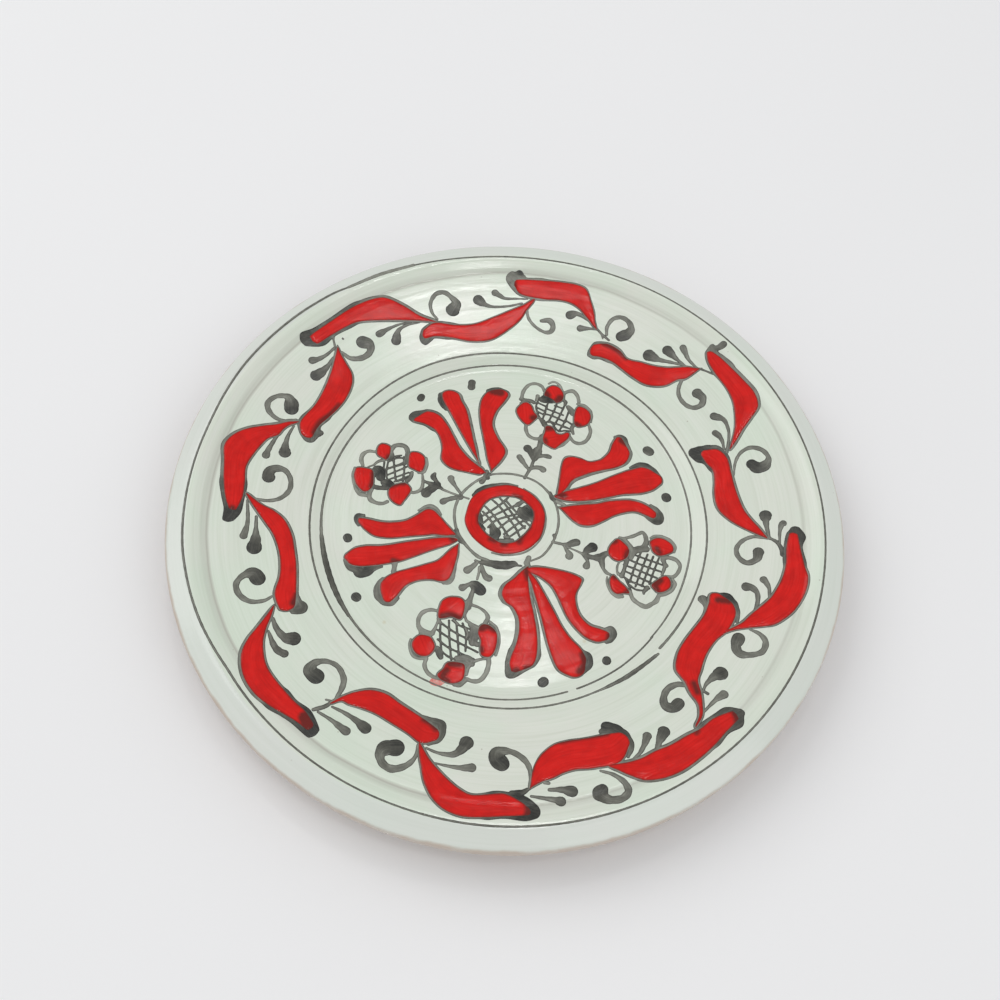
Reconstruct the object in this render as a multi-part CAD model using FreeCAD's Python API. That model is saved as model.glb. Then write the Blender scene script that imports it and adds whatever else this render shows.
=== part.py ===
"""Hand painted ceramic plate, 230 mm across: a thrown clay plate with a turned foot ring, a coat of
white ground over its face and rim, and the painted lines, leaves, sprigs, tulips and flowers laid on it.

Units are millimetres. +Z is up, and the origin is at the centre of the foot ring's resting face.
"""
import FreeCAD, Part
import math
import os

os.makedirs("parts", exist_ok=True)
V = FreeCAD.Vector

# Driving dimensions
RIM_RADIUS = 115.0
FLOOR_Z = 9.5                  # top of the well's flat floor
FLOOR_THICKNESS = 6.0
WELL_RADIUS = 63.2             # where the floor turns up into the step
STEP_TOP = (68.4, 12.35)       # radius and height of the shoulder round the well
BORDER_EDGE = (101.4, 19.0)    # outer end of the broad border
CREST = (107.4, 22.0)          # corner that the lip is rounded over
RIM_TOP_Z = 19.0
RIM_BOTTOM_Z = 14.2
GROUND_LAP = 111.0             # the ground ends here, under the rim
BORDER_BACK = (72.0, 6.4)      # where the back of the border meets the foot's flank
FOOT_OUTER = 64.5
FOOT_INNER = 58.5
FOOT_DRAFT = 1.2
GROUND = 0.5                   # thickness of the white ground and its glaze
PAINT = 0.25                   # thickness of the painted strokes

LINE = 0.8                     # width of a painted ring line
LIP_LINE = 108.0
WELL_OUTER_LINE = 68.7
WELL_INNER_LINE = 64.6
CENTRE_CIRCLE = 18.0
RED_RING = (13.4, 9.4)         # outer and inner radius
OUTLINE = 0.7                  # width of the grey outline round a leaf or a petal
HATCH = 0.6                    # width of a hatching line
HATCH_PITCH = 2.2


# ---- turned profiles -------------------------------------------------------------------------------

def corner_turn(a, b, c):
    """Signed turn at b on the way from a through b to c, in radians."""
    first = math.atan2(b[1] - a[1], b[0] - a[0])
    second = math.atan2(c[1] - b[1], c[0] - b[0])
    return (second - first + math.pi) % (2 * math.pi) - math.pi


def inset_path(path, amount):
    """The same corners moved to the right of the path by amount, with the corner radii to match."""
    moved = []
    for i, (r, z, radius) in enumerate(path):
        before = path[max(i - 1, 0)]
        after = path[min(i + 1, len(path) - 1)]
        if i == 0:
            before = (2 * r - after[0], 2 * z - after[1], 0)
        if i == len(path) - 1:
            after = (2 * r - before[0], 2 * z - before[1], 0)
        turn = corner_turn(before, (r, z), after)
        heading = math.atan2(z - before[1], r - before[0]) + turn / 2
        reach = amount / math.cos(turn / 2)
        new_radius = max(radius + (amount if turn > 0 else -amount), 0.1) if radius else 0.0
        moved.append((r + reach * math.sin(heading), z - reach * math.cos(heading), new_radius))
    return moved


def rounded_edges(path):
    """Straight edges along the corners (r, z, radius) with a tangent arc at each rounded corner."""
    edges = []
    start = V(path[0][0], 0, path[0][1])
    for before, corner, after in zip(path, path[1:], path[2:]):
        at = V(corner[0], 0, corner[1])
        if corner[2]:
            turn = abs(corner_turn(before, corner, after))
            back = corner[2] * math.tan(turn / 2)
            towards = (V(before[0], 0, before[1]) - at).normalize()
            away = (V(after[0], 0, after[1]) - at).normalize()
            inside = (towards + away).normalize()
            middle = at + inside * (corner[2] / math.cos(turn / 2) - corner[2])
            edges.append(Part.makeLine(start, at + towards * back))
            edges.append(Part.Arc(at + towards * back, middle, at + away * back).toShape())
            start = at + away * back
        else:
            edges.append(Part.makeLine(start, at))
            start = at
    edges.append(Part.makeLine(start, V(path[-1][0], 0, path[-1][1])))
    return edges


def turned(*paths):
    """The solid turned from a closed profile made of paths laid end to end."""
    edges = []
    for path in paths:
        if edges:
            edges.append(Part.makeLine(edges[-1].Vertexes[-1].Point, V(path[0][0], 0, path[0][1])))
        edges += rounded_edges(path)
    edges.append(Part.makeLine(V(paths[-1][-1][0], 0, paths[-1][-1][1]),
                               V(paths[0][0][0], 0, paths[0][0][1])))
    wire = Part.Wire(Part.__sortEdges__([edge for edge in edges if edge.Length > 1e-6]))
    return Part.Face(wire).revolve(V(0, 0, 0), V(0, 0, 1), 360)


# The face of the plate, from the centre of the well out to the rim and round under it.
FACE = [
    (0.0, FLOOR_Z, 0.0),
    (WELL_RADIUS, FLOOR_Z, 9.0),
    (*STEP_TOP, 7.0),
    (*BORDER_EDGE, 8.0),
    (*CREST, 5.0),
    (RIM_RADIUS, RIM_TOP_Z, 1.7),
    (RIM_RADIUS, RIM_BOTTOM_Z, 1.7),
    (GROUND_LAP, RIM_BOTTOM_Z - 0.6, 0.0),
]
CLAY_FACE = inset_path(FACE, GROUND)
BACK = [
    (GROUND_LAP, RIM_BOTTOM_Z - 0.6, 0.0),
    (*BORDER_BACK, 8.0),
    (FOOT_OUTER + FOOT_DRAFT, 5.0, 2.0),
    (FOOT_OUTER, 0.0, 0.0),
    (FOOT_INNER, 0.0, 0.0),
    (FOOT_INNER - FOOT_DRAFT, FLOOR_Z - FLOOR_THICKNESS, 1.0),
    (0.0, FLOOR_Z - FLOOR_THICKNESS, 0.0),
]


def clay_body():
    return turned(CLAY_FACE, BACK)


def white_ground():
    return turned(FACE, CLAY_FACE[::-1])


def paint_coat():
    """A coat of paint's thickness over the whole face inside the rim, which the strokes are cut from."""
    top = [(r, z, radius) for r, z, radius in FACE[:5]] + [(RIM_RADIUS - 2.5, RIM_TOP_Z + 1.0, 0.0)]
    raised = [(r, z + PAINT, radius) for r, z, radius in top]
    return turned(top, raised[::-1])


# ---- flat shapes of the strokes, seen from above ---------------------------------------------------

def disc(x, y, radius):
    return Part.Face(Part.Wire(Part.makeCircle(radius, V(x, y, 0))))


def ring(radius, width):
    return disc(0, 0, radius + width / 2).cut(disc(0, 0, radius - width / 2))


def bar(x, y, half_length, width, angle):
    """A straight stroke centred on (x, y), at an angle in degrees."""
    face = Part.Face(Part.makePolygon([V(-half_length, -width / 2, 0), V(half_length, -width / 2, 0),
                                       V(half_length, width / 2, 0), V(-half_length, width / 2, 0),
                                       V(-half_length, -width / 2, 0)]))
    face.rotate(V(0, 0, 0), V(0, 0, 1), angle)
    face.translate(V(x, y, 0))
    return face


def stroke(spine, half_widths, grow=0.0):
    """A brush stroke along a smooth curve through spine, with its half width at each of the points."""
    points = [V(x, y, 0) for x, y in spine]
    curve = Part.BSplineCurve()
    curve.interpolate(points)
    sides = ([], [])
    for point, half_width in zip(points, half_widths):
        along = curve.tangent(curve.parameter(point))[0].normalize()
        across = V(-along.y, along.x, 0) * (half_width + grow)
        sides[0].append(point + across)
        sides[1].append(point - across)
    first = curve.tangent(curve.FirstParameter)[0].normalize()
    last = curve.tangent(curve.LastParameter)[0].normalize()
    tip = points[-1] + last * (half_widths[-1] + grow)
    tail = points[0] - first * (half_widths[0] + grow)
    left, right = Part.BSplineCurve(), Part.BSplineCurve()
    left.interpolate(sides[0])
    right.interpolate(sides[1][::-1])
    return Part.Face(Part.Wire([left.toShape(), Part.Arc(sides[0][-1], tip, sides[1][-1]).toShape(),
                                right.toShape(), Part.Arc(sides[1][0], tail, sides[0][0]).toShape()]))


def joined(faces):
    return faces[0].multiFuse(faces[1:]).removeSplitter() if len(faces) > 1 else faces[0]


def lattice(x, y, radius, angle):
    """Crossed hatching inside a circle."""
    lines = []
    count = int(radius / HATCH_PITCH)
    for turn in (angle, angle + 90):
        for i in range(-count, count + 1):
            offset = i * HATCH_PITCH
            half_length = math.sqrt(radius ** 2 - offset ** 2)
            side = math.radians(turn + 90)
            lines.append(bar(x + offset * math.cos(side), y + offset * math.sin(side),
                             half_length, HATCH, turn))
    return joined(lines)


# ---- the painted figures ---------------------------------------------------------------------------

# Border leaves, each from its broad tip to its pointed tail, clockwise from the upper left.
LEAF_HALF_WIDTHS = (2.8, 4.0, 4.2, 3.0, 0.7)
LEAVES = [
    [(-78.5, 62.5), (-71, 72.5), (-61, 79), (-50, 79), (-38, 77.5)],
    [(-36.5, 72.5), (-27, 74), (-16, 76.5), (-7, 81.5), (-1.5, 88)],
    [(-4.5, 96.3), (3, 95.6), (11.5, 95.4), (19, 92.8), (24.5, 84)],
    [(28, 73), (34, 70), (41.5, 65.5), (51, 62.8), (61.5, 66)],
    [(69.5, 72), (75.5, 63), (82, 53), (81.5, 45), (78, 37)],
    [(69, 32), (73.5, 25), (75.5, 16), (80, 8.5), (87, 1.5)],
    [(97.8, 0.5), (98.5, -9), (96, -20), (89.5, -29), (81, -34.5)],
    [(75.5, -27), (69, -36), (63, -45), (63.5, -52.5), (66.2, -65)],
    [(75.5, -66.5), (69.5, -74), (61.5, -81), (52, -85.5), (40.5, -84)],
    [(41.5, -76.5), (34, -79), (26, -81), (19.5, -85.5), (16.5, -92)],
    [(12.5, -101), (4, -101.3), (-5.5, -101), (-13, -95), (-18.8, -86)],
    [(-15.5, -78.5), (-23, -77), (-32, -72.5), (-40, -70), (-47, -73)],
    [(-55, -82), (-64, -76), (-73.5, -67.5), (-77, -58.5), (-73.3, -46.5)],
    [(-67, -40.5), (-69.5, -31), (-73, -20), (-79, -11), (-87, -5.8)],
    [(-93.5, -9.5), (-95, -1), (-97, 10), (-91.5, 18.5), (-81.5, 25)],
    [(-73, 25.5), (-69.5, 34), (-65.5, 43), (-65, 50.5), (-68, 57.5)],
]

# Sprigs between the leaves: a curled stroke that ends in a round drop, and two or three small drops.
CURL_HALF_WIDTHS = (0.45, 0.6, 0.75, 0.9)
CURL_DROP = 2.5
SMALL_DROP_HALF_WIDTHS = (0.35, 0.7, 1.4)
SPRIGS = [
    ([(-37, 79.5), (-38, 85), (-33.5, 89), (-29, 87)], (-28.7, 83.2),
     [[(-41, 75), (-46, 72.5), (-48.5, 67)], [(-43, 76), (-50, 74), (-55, 69)]]),
    ([(-0.5, 86), (0.5, 81.5), (4, 78.7), (8, 79.5)], (8.8, 82.5),
     [[(-6, 88), (-13, 86.5), (-19.5, 88)], [(-3, 91), (-9, 90.5), (-13.5, 91.8)]]),
    ([(29.5, 80), (31, 85), (35.5, 86.5), (38.5, 84.5)], (37, 80.8),
     [[(26, 81), (22, 80.5), (19.5, 80.8)], [(24, 82.5), (20, 85), (15.5, 86)]]),
    ([(58.5, 62), (57.5, 56), (60.5, 51.5), (65, 51)], (65.5, 54.5),
     [[(57, 67), (51, 69.5), (47, 71.5)], [(60, 67), (55.5, 71), (53, 74)], [(63, 67), (60.5, 71), (58.8, 74)]]),
    ([(78.5, 32), (80, 35), (85.5, 35), (89, 31.5)], (86.5, 27.8),
     [[(77.5, 41), (75.5, 46), (71, 47.5)], [(76.5, 36.5), (74, 39.5), (71.5, 40.5)]]),
    ([(86, -2.5), (80.5, -2.8), (79, -6.5), (80.5, -9)], (84, -7.5),
     [[(89.5, 2.5), (89, 6), (88.5, 8.5)], [(91.5, 1), (93.5, 3.5), (94.8, 4.5)]]),
    ([(82, -36.5), (86.5, -36.8), (87, -41), (84, -43.5)], (80, -40.8),
     [[(87, -27.5), (87, -22), (83.5, -19.5)], [(90.5, -25.5), (90, -20), (88, -17.5)]]),
    ([(63, -58), (58, -56), (55, -59), (55.2, -62)], (58.5, -63),
     [[(67.5, -57.5), (69, -54), (72.5, -51.8)], [(68, -62.5), (71, -60), (74, -58.2)]]),
    ([(42.5, -86.5), (45.5, -90), (44.5, -95), (40, -97)], (37, -93.5),
     [[(46, -82.3), (48.5, -78.5), (50.2, -76)], [(50, -81), (53.5, -77), (55.5, -73)]]),
    ([(15.3, -90), (14.5, -85), (10, -82.5), (6, -83)], (5, -86.5),
     [[(20, -95.5), (24, -94), (28.3, -93.5)], [(19, -97.2), (23, -97), (26.5, -97.8)]]),
    ([(-21.5, -88), (-24, -92.5), (-29, -93.5), (-32, -90)], (-29, -86.5),
     [[(-16, -85), (-10, -85.5), (-6, -81.8)], [(-15, -88), (-9, -89.5), (-3.5, -89)]]),
    ([(-50, -74.5), (-46, -69), (-48, -62), (-53, -60.5)], (-56, -65),
     [[(-48, -76), (-42, -77), (-37.5, -80.3)], [(-50, -77), (-47, -79), (-43, -82.3)]]),
    ([(-75, -41), (-81, -43.3), (-85.5, -40), (-84.5, -35.5)], (-80.8, -34.3),
     [[(-71.3, -46), (-69.5, -51), (-65.5, -54)], [(-72.5, -49.5), (-70.5, -56), (-67, -59.5)]]),
    ([(-86.5, -5), (-79, -2.5), (-76.5, 3), (-80, 7.2)], (-83, 3.5),
     [[(-88.5, -7), (-88.5, -14), (-87.3, -19.5)], [(-85.5, -9), (-84.5, -17), (-83.3, -23)]]),
    ([(-79, 27), (-86, 27.5), (-89, 32), (-85, 36)], (-81.3, 33.5),
     [[(-83.5, 22.5), (-86, 17), (-86.3, 12)], [(-80.5, 24), (-81, 19), (-80.5, 15)]]),
    ([(-66.5, 56.3), (-61, 55.5), (-56.5, 59), (-58.5, 64.5)], (-62.5, 63),
     [[(-70, 61), (-75, 56), (-77.5, 52.5)], [(-70.5, 57), (-72, 51), (-74.3, 47.8)]]),
]

# Tulips in the well: three red petals each, and a dot beyond each gap between them.
PETAL_HALF_WIDTHS = (1.0, 3.2, 3.6, 2.6)
TULIPS = [
    ([[(-13, 19.5), (-22, 22), (-27, 32), (-35, 38)],
      [(-12.8, 22.5), (-17.5, 31), (-22, 40), (-26.5, 47.5)],
      [(-7.5, 21.5), (-7.5, 29), (-10.5, 39), (-7.5, 49.5)]], [(-36.5, 46.5), (-18.8, 54.5)]),
    ([[(17.5, 12.5), (20, 20.5), (29.5, 25), (37.8, 35)],
      [(18.5, 12.6), (28, 17.5), (38, 21.5), (48.5, 22.8)],
      [(20, 7.5), (28, 3.8), (37, 8.2), (49.5, 8.5)]], [(48, 34), (54.8, 15.3)]),
    ([[(12, -19), (22, -20), (26, -31), (35, -39.5)],
      [(10.8, -21.5), (16, -31), (21, -41), (28.5, -50.5)],
      [(6.5, -22), (6, -31), (9, -41), (8, -51.5)]], [(37.2, -48), (17, -57.5)]),
    ([[(-19.5, -6.5), (-27.5, -3), (-38, -7.8), (-48, -7.5)],
      [(-20.5, -9.8), (-29, -12.5), (-39.5, -17), (-49, -21.5)],
      [(-17.2, -15), (-21, -21.5), (-30, -25), (-37.8, -32.5)]], [(-53.8, -13.8), (-47.5, -35)]),
]
DOT_RADIUS = 1.4

# Flowers in the well: centre of the hatched heart, direction of the first red petal and the stalk's
# spine from the heart down to the circle round the medallion, with the dark bud on it.
HEART_RADIUS = 6.4
PETAL_RING = 9.4
PETAL_RADIUS = 3.3
FLOWERS = [
    ((12.5, 45.5), 90, [(9.8, 33), (7.5, 26), (4.8, 18.5)], (7, 28)),
    ((47.8, -13.3), 39, [(34.5, -11), (26, -8.5), (18.6, -7.2)], (29.8, -8.7)),
    ((-12.5, -46.5), 100, [(-9.2, -33), (-8, -26), (-7.2, -19)], (-8.5, -28.3)),
    ((-43.5, 14.3), 36, [(-31.5, 11.3), (-24, 8.5), (-18.8, 6.3)], (-27.5, 10)),
]
BUD_RADIUS = 2.3


def leaf(spine, grow=0.0):
    return stroke(spine, LEAF_HALF_WIDTHS, grow)


def sprig(curl, drop, small_drops):
    faces = [stroke(curl, CURL_HALF_WIDTHS), disc(*drop, CURL_DROP)]
    faces.append(stroke([curl[-1], drop], (CURL_HALF_WIDTHS[-1], CURL_HALF_WIDTHS[-1])))
    faces += [stroke(spine, SMALL_DROP_HALF_WIDTHS) for spine in small_drops]
    return joined(faces)


def petals(spines, grow=0.0):
    return joined([stroke(spine, PETAL_HALF_WIDTHS, grow) for spine in spines])


def flower_discs(centre, first, step, radius):
    """Round petals about a flower's heart, from the direction first on, one every step degrees."""
    return [disc(centre[0] + PETAL_RING * math.cos(math.radians(angle)),
                 centre[1] + PETAL_RING * math.sin(math.radians(angle)), radius)
            for angle in range(first, first + 360, step)]


def flower_linework(centre, first, stalk, bud):
    """The grey linework of a flower: eight petal outlines, the hatched heart, and the stalk's bud."""
    outlines = joined(flower_discs(centre, first, 45, PETAL_RADIUS + OUTLINE))
    outlines = outlines.cut(joined(flower_discs(centre, first, 45, PETAL_RADIUS)))
    rim = disc(*centre, HEART_RADIUS).cut(disc(*centre, HEART_RADIUS - OUTLINE))
    outlines = outlines.cut(disc(*centre, HEART_RADIUS))
    hatching = lattice(*centre, HEART_RADIUS - OUTLINE / 2, first + 20)
    return joined([outlines, rim, hatching, stroke(stalk, (0.5, 0.5, 0.5)), disc(*bud, BUD_RADIUS)])


# ---- laying the paint ------------------------------------------------------------------------------

FLAT_FLOOR = WELL_RADIUS - 5.0     # inside this radius the floor is flat
STROKE_SWELL = 2.0                 # how far a stroke's sides may pass its corners
SMALLEST = 0.02                    # in cubic millimetres: anything less is a crumb left by a cut
COAT = paint_coat()
laid = []


def touches(a, b):
    return a.BoundBox.intersect(b.BoundBox)


def on_flat_floor(face):
    box = face.BoundBox
    far = math.hypot(max(-box.XMin, box.XMax), max(-box.YMin, box.YMax))
    near_side = min(far, max(math.hypot(v.X, v.Y) for v in face.Vertexes) + STROKE_SWELL)
    return near_side < FLAT_FLOOR


def lay(name, face):
    """Cut a flat shape out of the coat of paint, clear of the strokes laid before it, and keep it."""
    for other in laid:
        if touches(face, other):
            face = face.cut(other)
    laid.append(face)
    if on_flat_floor(face):
        face.translate(V(0, 0, FLOOR_Z))
        solid = face.extrude(V(0, 0, PAINT))
        face.translate(V(0, 0, -FLOOR_Z))
    else:
        solid = face.extrude(V(0, 0, CREST[1] + 2 * PAINT)).common(COAT)
    keep(name, Part.makeCompound([piece for piece in solid.Solids if piece.Volume > SMALLEST]))


def keep(name, shape):
    shape.exportStep(f"parts/{name}.step")


keep("clay_body", clay_body())
keep("white_ground", white_ground())

for number, spine in enumerate(LEAVES, 1):
    lay(f"border_leaf_{number:02d}", leaf(spine))
lay("leaf_outlines", joined([leaf(spine, OUTLINE) for spine in LEAVES]))
for number, (curl, drop, small_drops) in enumerate(SPRIGS, 1):
    lay(f"border_sprig_{number:02d}", sprig(curl, drop, small_drops))

for number, (spines, dots) in enumerate(TULIPS, 1):
    lay(f"tulip_petals_{number}", petals(spines))
lay("tulip_outlines", joined([petals(spines, OUTLINE) for spines, dots in TULIPS]))
lay("tulip_dots", Part.makeCompound([disc(*dot, DOT_RADIUS) for spines, dots in TULIPS for dot in dots]))
for number, (centre, first, stalk, bud) in enumerate(FLOWERS, 1):
    heart = disc(*centre, HEART_RADIUS)
    red = Part.makeCompound([petal.cut(heart) for petal in flower_discs(centre, first, 90, PETAL_RADIUS)])
    lay(f"flower_petals_{number}", red)
    lay(f"flower_linework_{number}", flower_linework(centre, first, stalk, bud))

lay("medallion_ring", disc(0, 0, RED_RING[0]).cut(disc(0, 0, RED_RING[1])))
lay("medallion_lattice", lattice(0, 0, RED_RING[1] - 0.05, 35))
lay("centre_circle", ring(CENTRE_CIRCLE, LINE))
lay("well_inner_line", ring(WELL_INNER_LINE, LINE))
lay("well_outer_line", ring(WELL_OUTER_LINE, LINE))
lay("lip_line", ring(LIP_LINE, LINE))
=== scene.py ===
"""Looks for the hand painted ceramic plate: turned body, white ground, brushed paint, studio."""

import math
import random

import bpy
import numpy as np
from mathutils import Euler, Matrix, Vector


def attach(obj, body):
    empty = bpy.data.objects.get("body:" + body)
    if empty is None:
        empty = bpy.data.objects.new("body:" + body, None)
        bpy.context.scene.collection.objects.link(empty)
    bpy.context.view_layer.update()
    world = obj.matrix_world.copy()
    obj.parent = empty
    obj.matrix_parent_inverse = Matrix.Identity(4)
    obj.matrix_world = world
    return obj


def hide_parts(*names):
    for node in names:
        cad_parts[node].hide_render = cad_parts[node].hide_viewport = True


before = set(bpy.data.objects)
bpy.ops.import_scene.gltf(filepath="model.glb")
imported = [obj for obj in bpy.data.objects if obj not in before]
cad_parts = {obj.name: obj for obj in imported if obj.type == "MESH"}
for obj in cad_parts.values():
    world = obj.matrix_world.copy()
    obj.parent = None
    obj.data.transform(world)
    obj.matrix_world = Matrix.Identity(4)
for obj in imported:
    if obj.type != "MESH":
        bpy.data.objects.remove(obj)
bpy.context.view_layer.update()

MM = 0.001  # every length below is in millimetres
RIM_RADIUS = 115.0

# Turned profiles as (radius, height, corner radius), the same as in the CAD source.
FACE = [
    (0, 9.5, 0), (63.2, 9.5, 9), (68.4, 12.35, 7), (101.4, 19.0, 8),
    (107.4, 22.0, 5), (115, 19.0, 1.7), (115, 14.2, 1.7), (111, 13.6, 0),
]
BACK = [
    (111, 13.6, 0), (72, 6.4, 8), (65.7, 5, 2), (64.5, 0, 0.6),
    (58.5, 0, 0.6), (57.3, 3.5, 1), (0, 3.5, 0),
]
GROUND_THICKNESS = 0.5
RINGS_ROUND = 720  # steps round the plate

# Paint films: how high they stand over the white ground, and how fine their meshes are.
INK_LIFT = 0.07
INK_WIDER = 1.18  # a loaded brush spreads a little beyond its drawn width
INK_CELL = 0.2
RED_BASE = 0.06
RED_LIFT = 0.13
RED_CELL = 0.3
BURIED = 0.15  # the hidden underside of a film lies this far inside the ground
SIDE_INK = 0.5  # how dark the thin outline along a leaf's side is
INK_BLEND = 0.9  # over this length the darkness of one stroke runs into the next
STROKE_STEP = 0.45  # spacing of the points along a stroke
GRID_MARGIN = 1.5  # empty grid kept round a patch
FAR = 9.0  # distance from any edge where nothing is painted
WHOLE_PATCH = 60  # a reach wider than any patch
SHADE_DEPTH = 0.55  # how dark red turns over wet ink, and over what length that fades
SHADE_FADE = 1.9
PETAL_CELL = 0.22
FLOWER_INK_CELL = 0.18
NET_CELL = 0.15


# ---------------------------------------------------------------- the turned surface


def rounded(corners, steps=7):
    """The corner points as a polyline, each corner replaced by a tangent arc."""
    line = []
    for k, (r, z, radius) in enumerate(corners):
        here = np.array([r, z], float)
        if radius == 0 or k in (0, len(corners) - 1):
            line.append(here)
            continue
        back = np.array(corners[k - 1][:2], float) - here
        ahead = np.array(corners[k + 1][:2], float) - here
        back /= np.linalg.norm(back)
        ahead /= np.linalg.norm(ahead)
        half = math.acos(np.clip(back @ ahead, -1, 1)) / 2
        reach = radius / math.tan(half)
        middle = back + ahead
        centre = here + middle / np.linalg.norm(middle) * radius / math.sin(half)
        start = here + back * reach - centre
        end = here + ahead * reach - centre
        turn = math.atan2(start[0] * end[1] - start[1] * end[0], start @ end)
        for s in range(steps + 1):
            a = turn * s / steps
            c, n = math.cos(a), math.sin(a)
            line.append(centre + np.array([c * start[0] - n * start[1], n * start[0] + c * start[1]]))
    return np.array(line)


def resampled(line, step):
    """The same polyline with points at most a step apart, its own points kept."""
    out = [line[0]]
    for a, b in zip(line[:-1], line[1:]):
        n = max(1, math.ceil(np.linalg.norm(b - a) / step))
        for k in range(1, n + 1):
            out.append(a + (b - a) * k / n)
    return np.array(out)


FACE_LINE = rounded(FACE)
CREST = int(np.argmax(FACE_LINE[:, 1]))


def out_of_round(angle):
    """The hand thrown rim isn't a true circle: the share by which it is wider at an angle."""
    return 1 + 0.0012 * np.sin(2 * angle + 0.7) + 0.0006 * np.sin(5 * angle + 2.1)


def warp(x, y):
    """The slow rise and fall of the fired plate, which grows towards the rim."""
    r = np.hypot(x, y) / RIM_RADIUS
    a = np.arctan2(y, x)
    slow = 0.16 * r**2 * np.sin(2 * a + 0.4) + 0.08 * r**3 * np.sin(3 * a - 1.1)
    dents = 0.035 * np.sin(x * 0.11 + 1.3) * np.sin(y * 0.13 + 0.4)
    return slow + dents * (1 - 0.5 * r)


def turning(r, angle):
    """Shallow rings left by the turner's finger and the broad brush of the ground."""
    drift = 0.8 * np.sin(angle + 0.5) + 0.4 * np.sin(3 * angle)
    broad = 0.018 * np.sin(r * 1.05 + drift) + 0.010 * np.sin(r * 1.9 + 1.0 - drift)
    fine = 0.0045 * np.sin(r * 4.1 + 2.0 * drift)
    return (broad + fine) * np.clip(r / 6, 0, 1)


def lip_groove(r, angle):
    """The small groove cut along the inside of the lip."""
    middle = 101.9 + 0.25 * np.sin(2 * angle + 1)
    return -0.28 * np.exp(-(((r - middle) / 0.9) ** 2))


def face_height(x, y):
    """Height of the white ground's face over a point of the plate."""
    a = np.arctan2(y, x)
    r = np.hypot(x, y) / out_of_round(a)
    z = np.interp(r, FACE_LINE[: CREST + 1, 0], FACE_LINE[: CREST + 1, 1])
    return z + warp(x, y) + turning(r, a) + lip_groove(r, a)


# ---------------------------------------------------------------- mesh helpers


def new_piece(name, verts, faces, material, nodes):
    """A smooth mesh piece that rides on the plate and stands for CAD nodes."""
    mesh = bpy.data.meshes.new(name)
    mesh.from_pydata([tuple(float(c) * MM for c in v) for v in verts], [], faces)
    mesh.polygons.foreach_set("use_smooth", [True] * len(mesh.polygons))
    mesh.materials.append(material)
    mesh.update()
    piece = bpy.data.objects.new(name, mesh)
    bpy.context.scene.collection.objects.link(piece)
    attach(piece, "root")
    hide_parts(*nodes)
    return piece


def add_values(piece, name, values):
    """One number per vertex, which the material reads."""
    attribute = piece.data.attributes.new(name, "FLOAT", "POINT")
    attribute.data.foreach_set("value", np.asarray(values, np.float32))


def revolve(name, line, height_of, material, nodes):
    """Turns a closed profile line round the axis; points on the axis become one vertex."""
    angles = np.linspace(0, 2 * math.pi, RINGS_ROUND, endpoint=False)
    verts = []
    rows = []
    for k, (r, z) in enumerate(line):
        if r < 1e-6:
            rows.append([len(verts)])
            verts.append((0, 0, z + float(height_of(k, np.array([0.0]), np.array([0.0]))[0])))
            continue
        wide = r * out_of_round(angles)
        x = wide * np.cos(angles)
        y = wide * np.sin(angles)
        heights = z + height_of(k, x, y)
        rows.append(list(range(len(verts), len(verts) + RINGS_ROUND)))
        verts.extend(zip(x, y, heights))
    faces = []
    for low, high in zip(rows, rows[1:] + rows[:1]):
        for j in range(RINGS_ROUND):
            n = (j + 1) % RINGS_ROUND
            if len(low) == 1 and len(high) == 1:
                break
            if len(low) == 1:
                faces.append((low[0], high[j], high[n]))
            elif len(high) == 1:
                faces.append((low[n], low[j], high[0]))
            else:
                faces.append((low[j], high[j], high[n], low[n]))
    return new_piece(name, verts, faces, material, nodes)


# ---------------------------------------------------------------- painted shapes


def smooth(points, step, closed=False):
    """A Catmull-Rom curve through the points, whatever each point holds after x and y."""
    p = np.array(points, float)
    n = len(p)
    if n < 3 and not closed:
        count = max(2, math.ceil(np.linalg.norm(p[-1, :2] - p[0, :2]) / step) + 1)
        t = np.linspace(0, 1, count)[:, None]
        return p[0] * (1 - t) + p[-1] * t
    out = []
    spans = n if closed else n - 1
    for k in range(spans):
        if closed:
            a, b, c, d = p[k - 1], p[k], p[(k + 1) % n], p[(k + 2) % n]
        else:
            b, c = p[k], p[k + 1]
            a = p[k - 1] if k else 2 * b - c
            d = p[k + 2] if k + 2 < n else 2 * c - b
        count = max(2, math.ceil(np.linalg.norm(c[:2] - b[:2]) / step))
        for s in range(count):
            t = s / count
            out.append(
                0.5 * (2 * b + (c - a) * t + (2 * a - 5 * b + 4 * c - d) * t**2
                       + (3 * b - a - 3 * c + d) * t**3)
            )
    if not closed:
        out.append(p[-1])
    return np.array(out)


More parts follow.
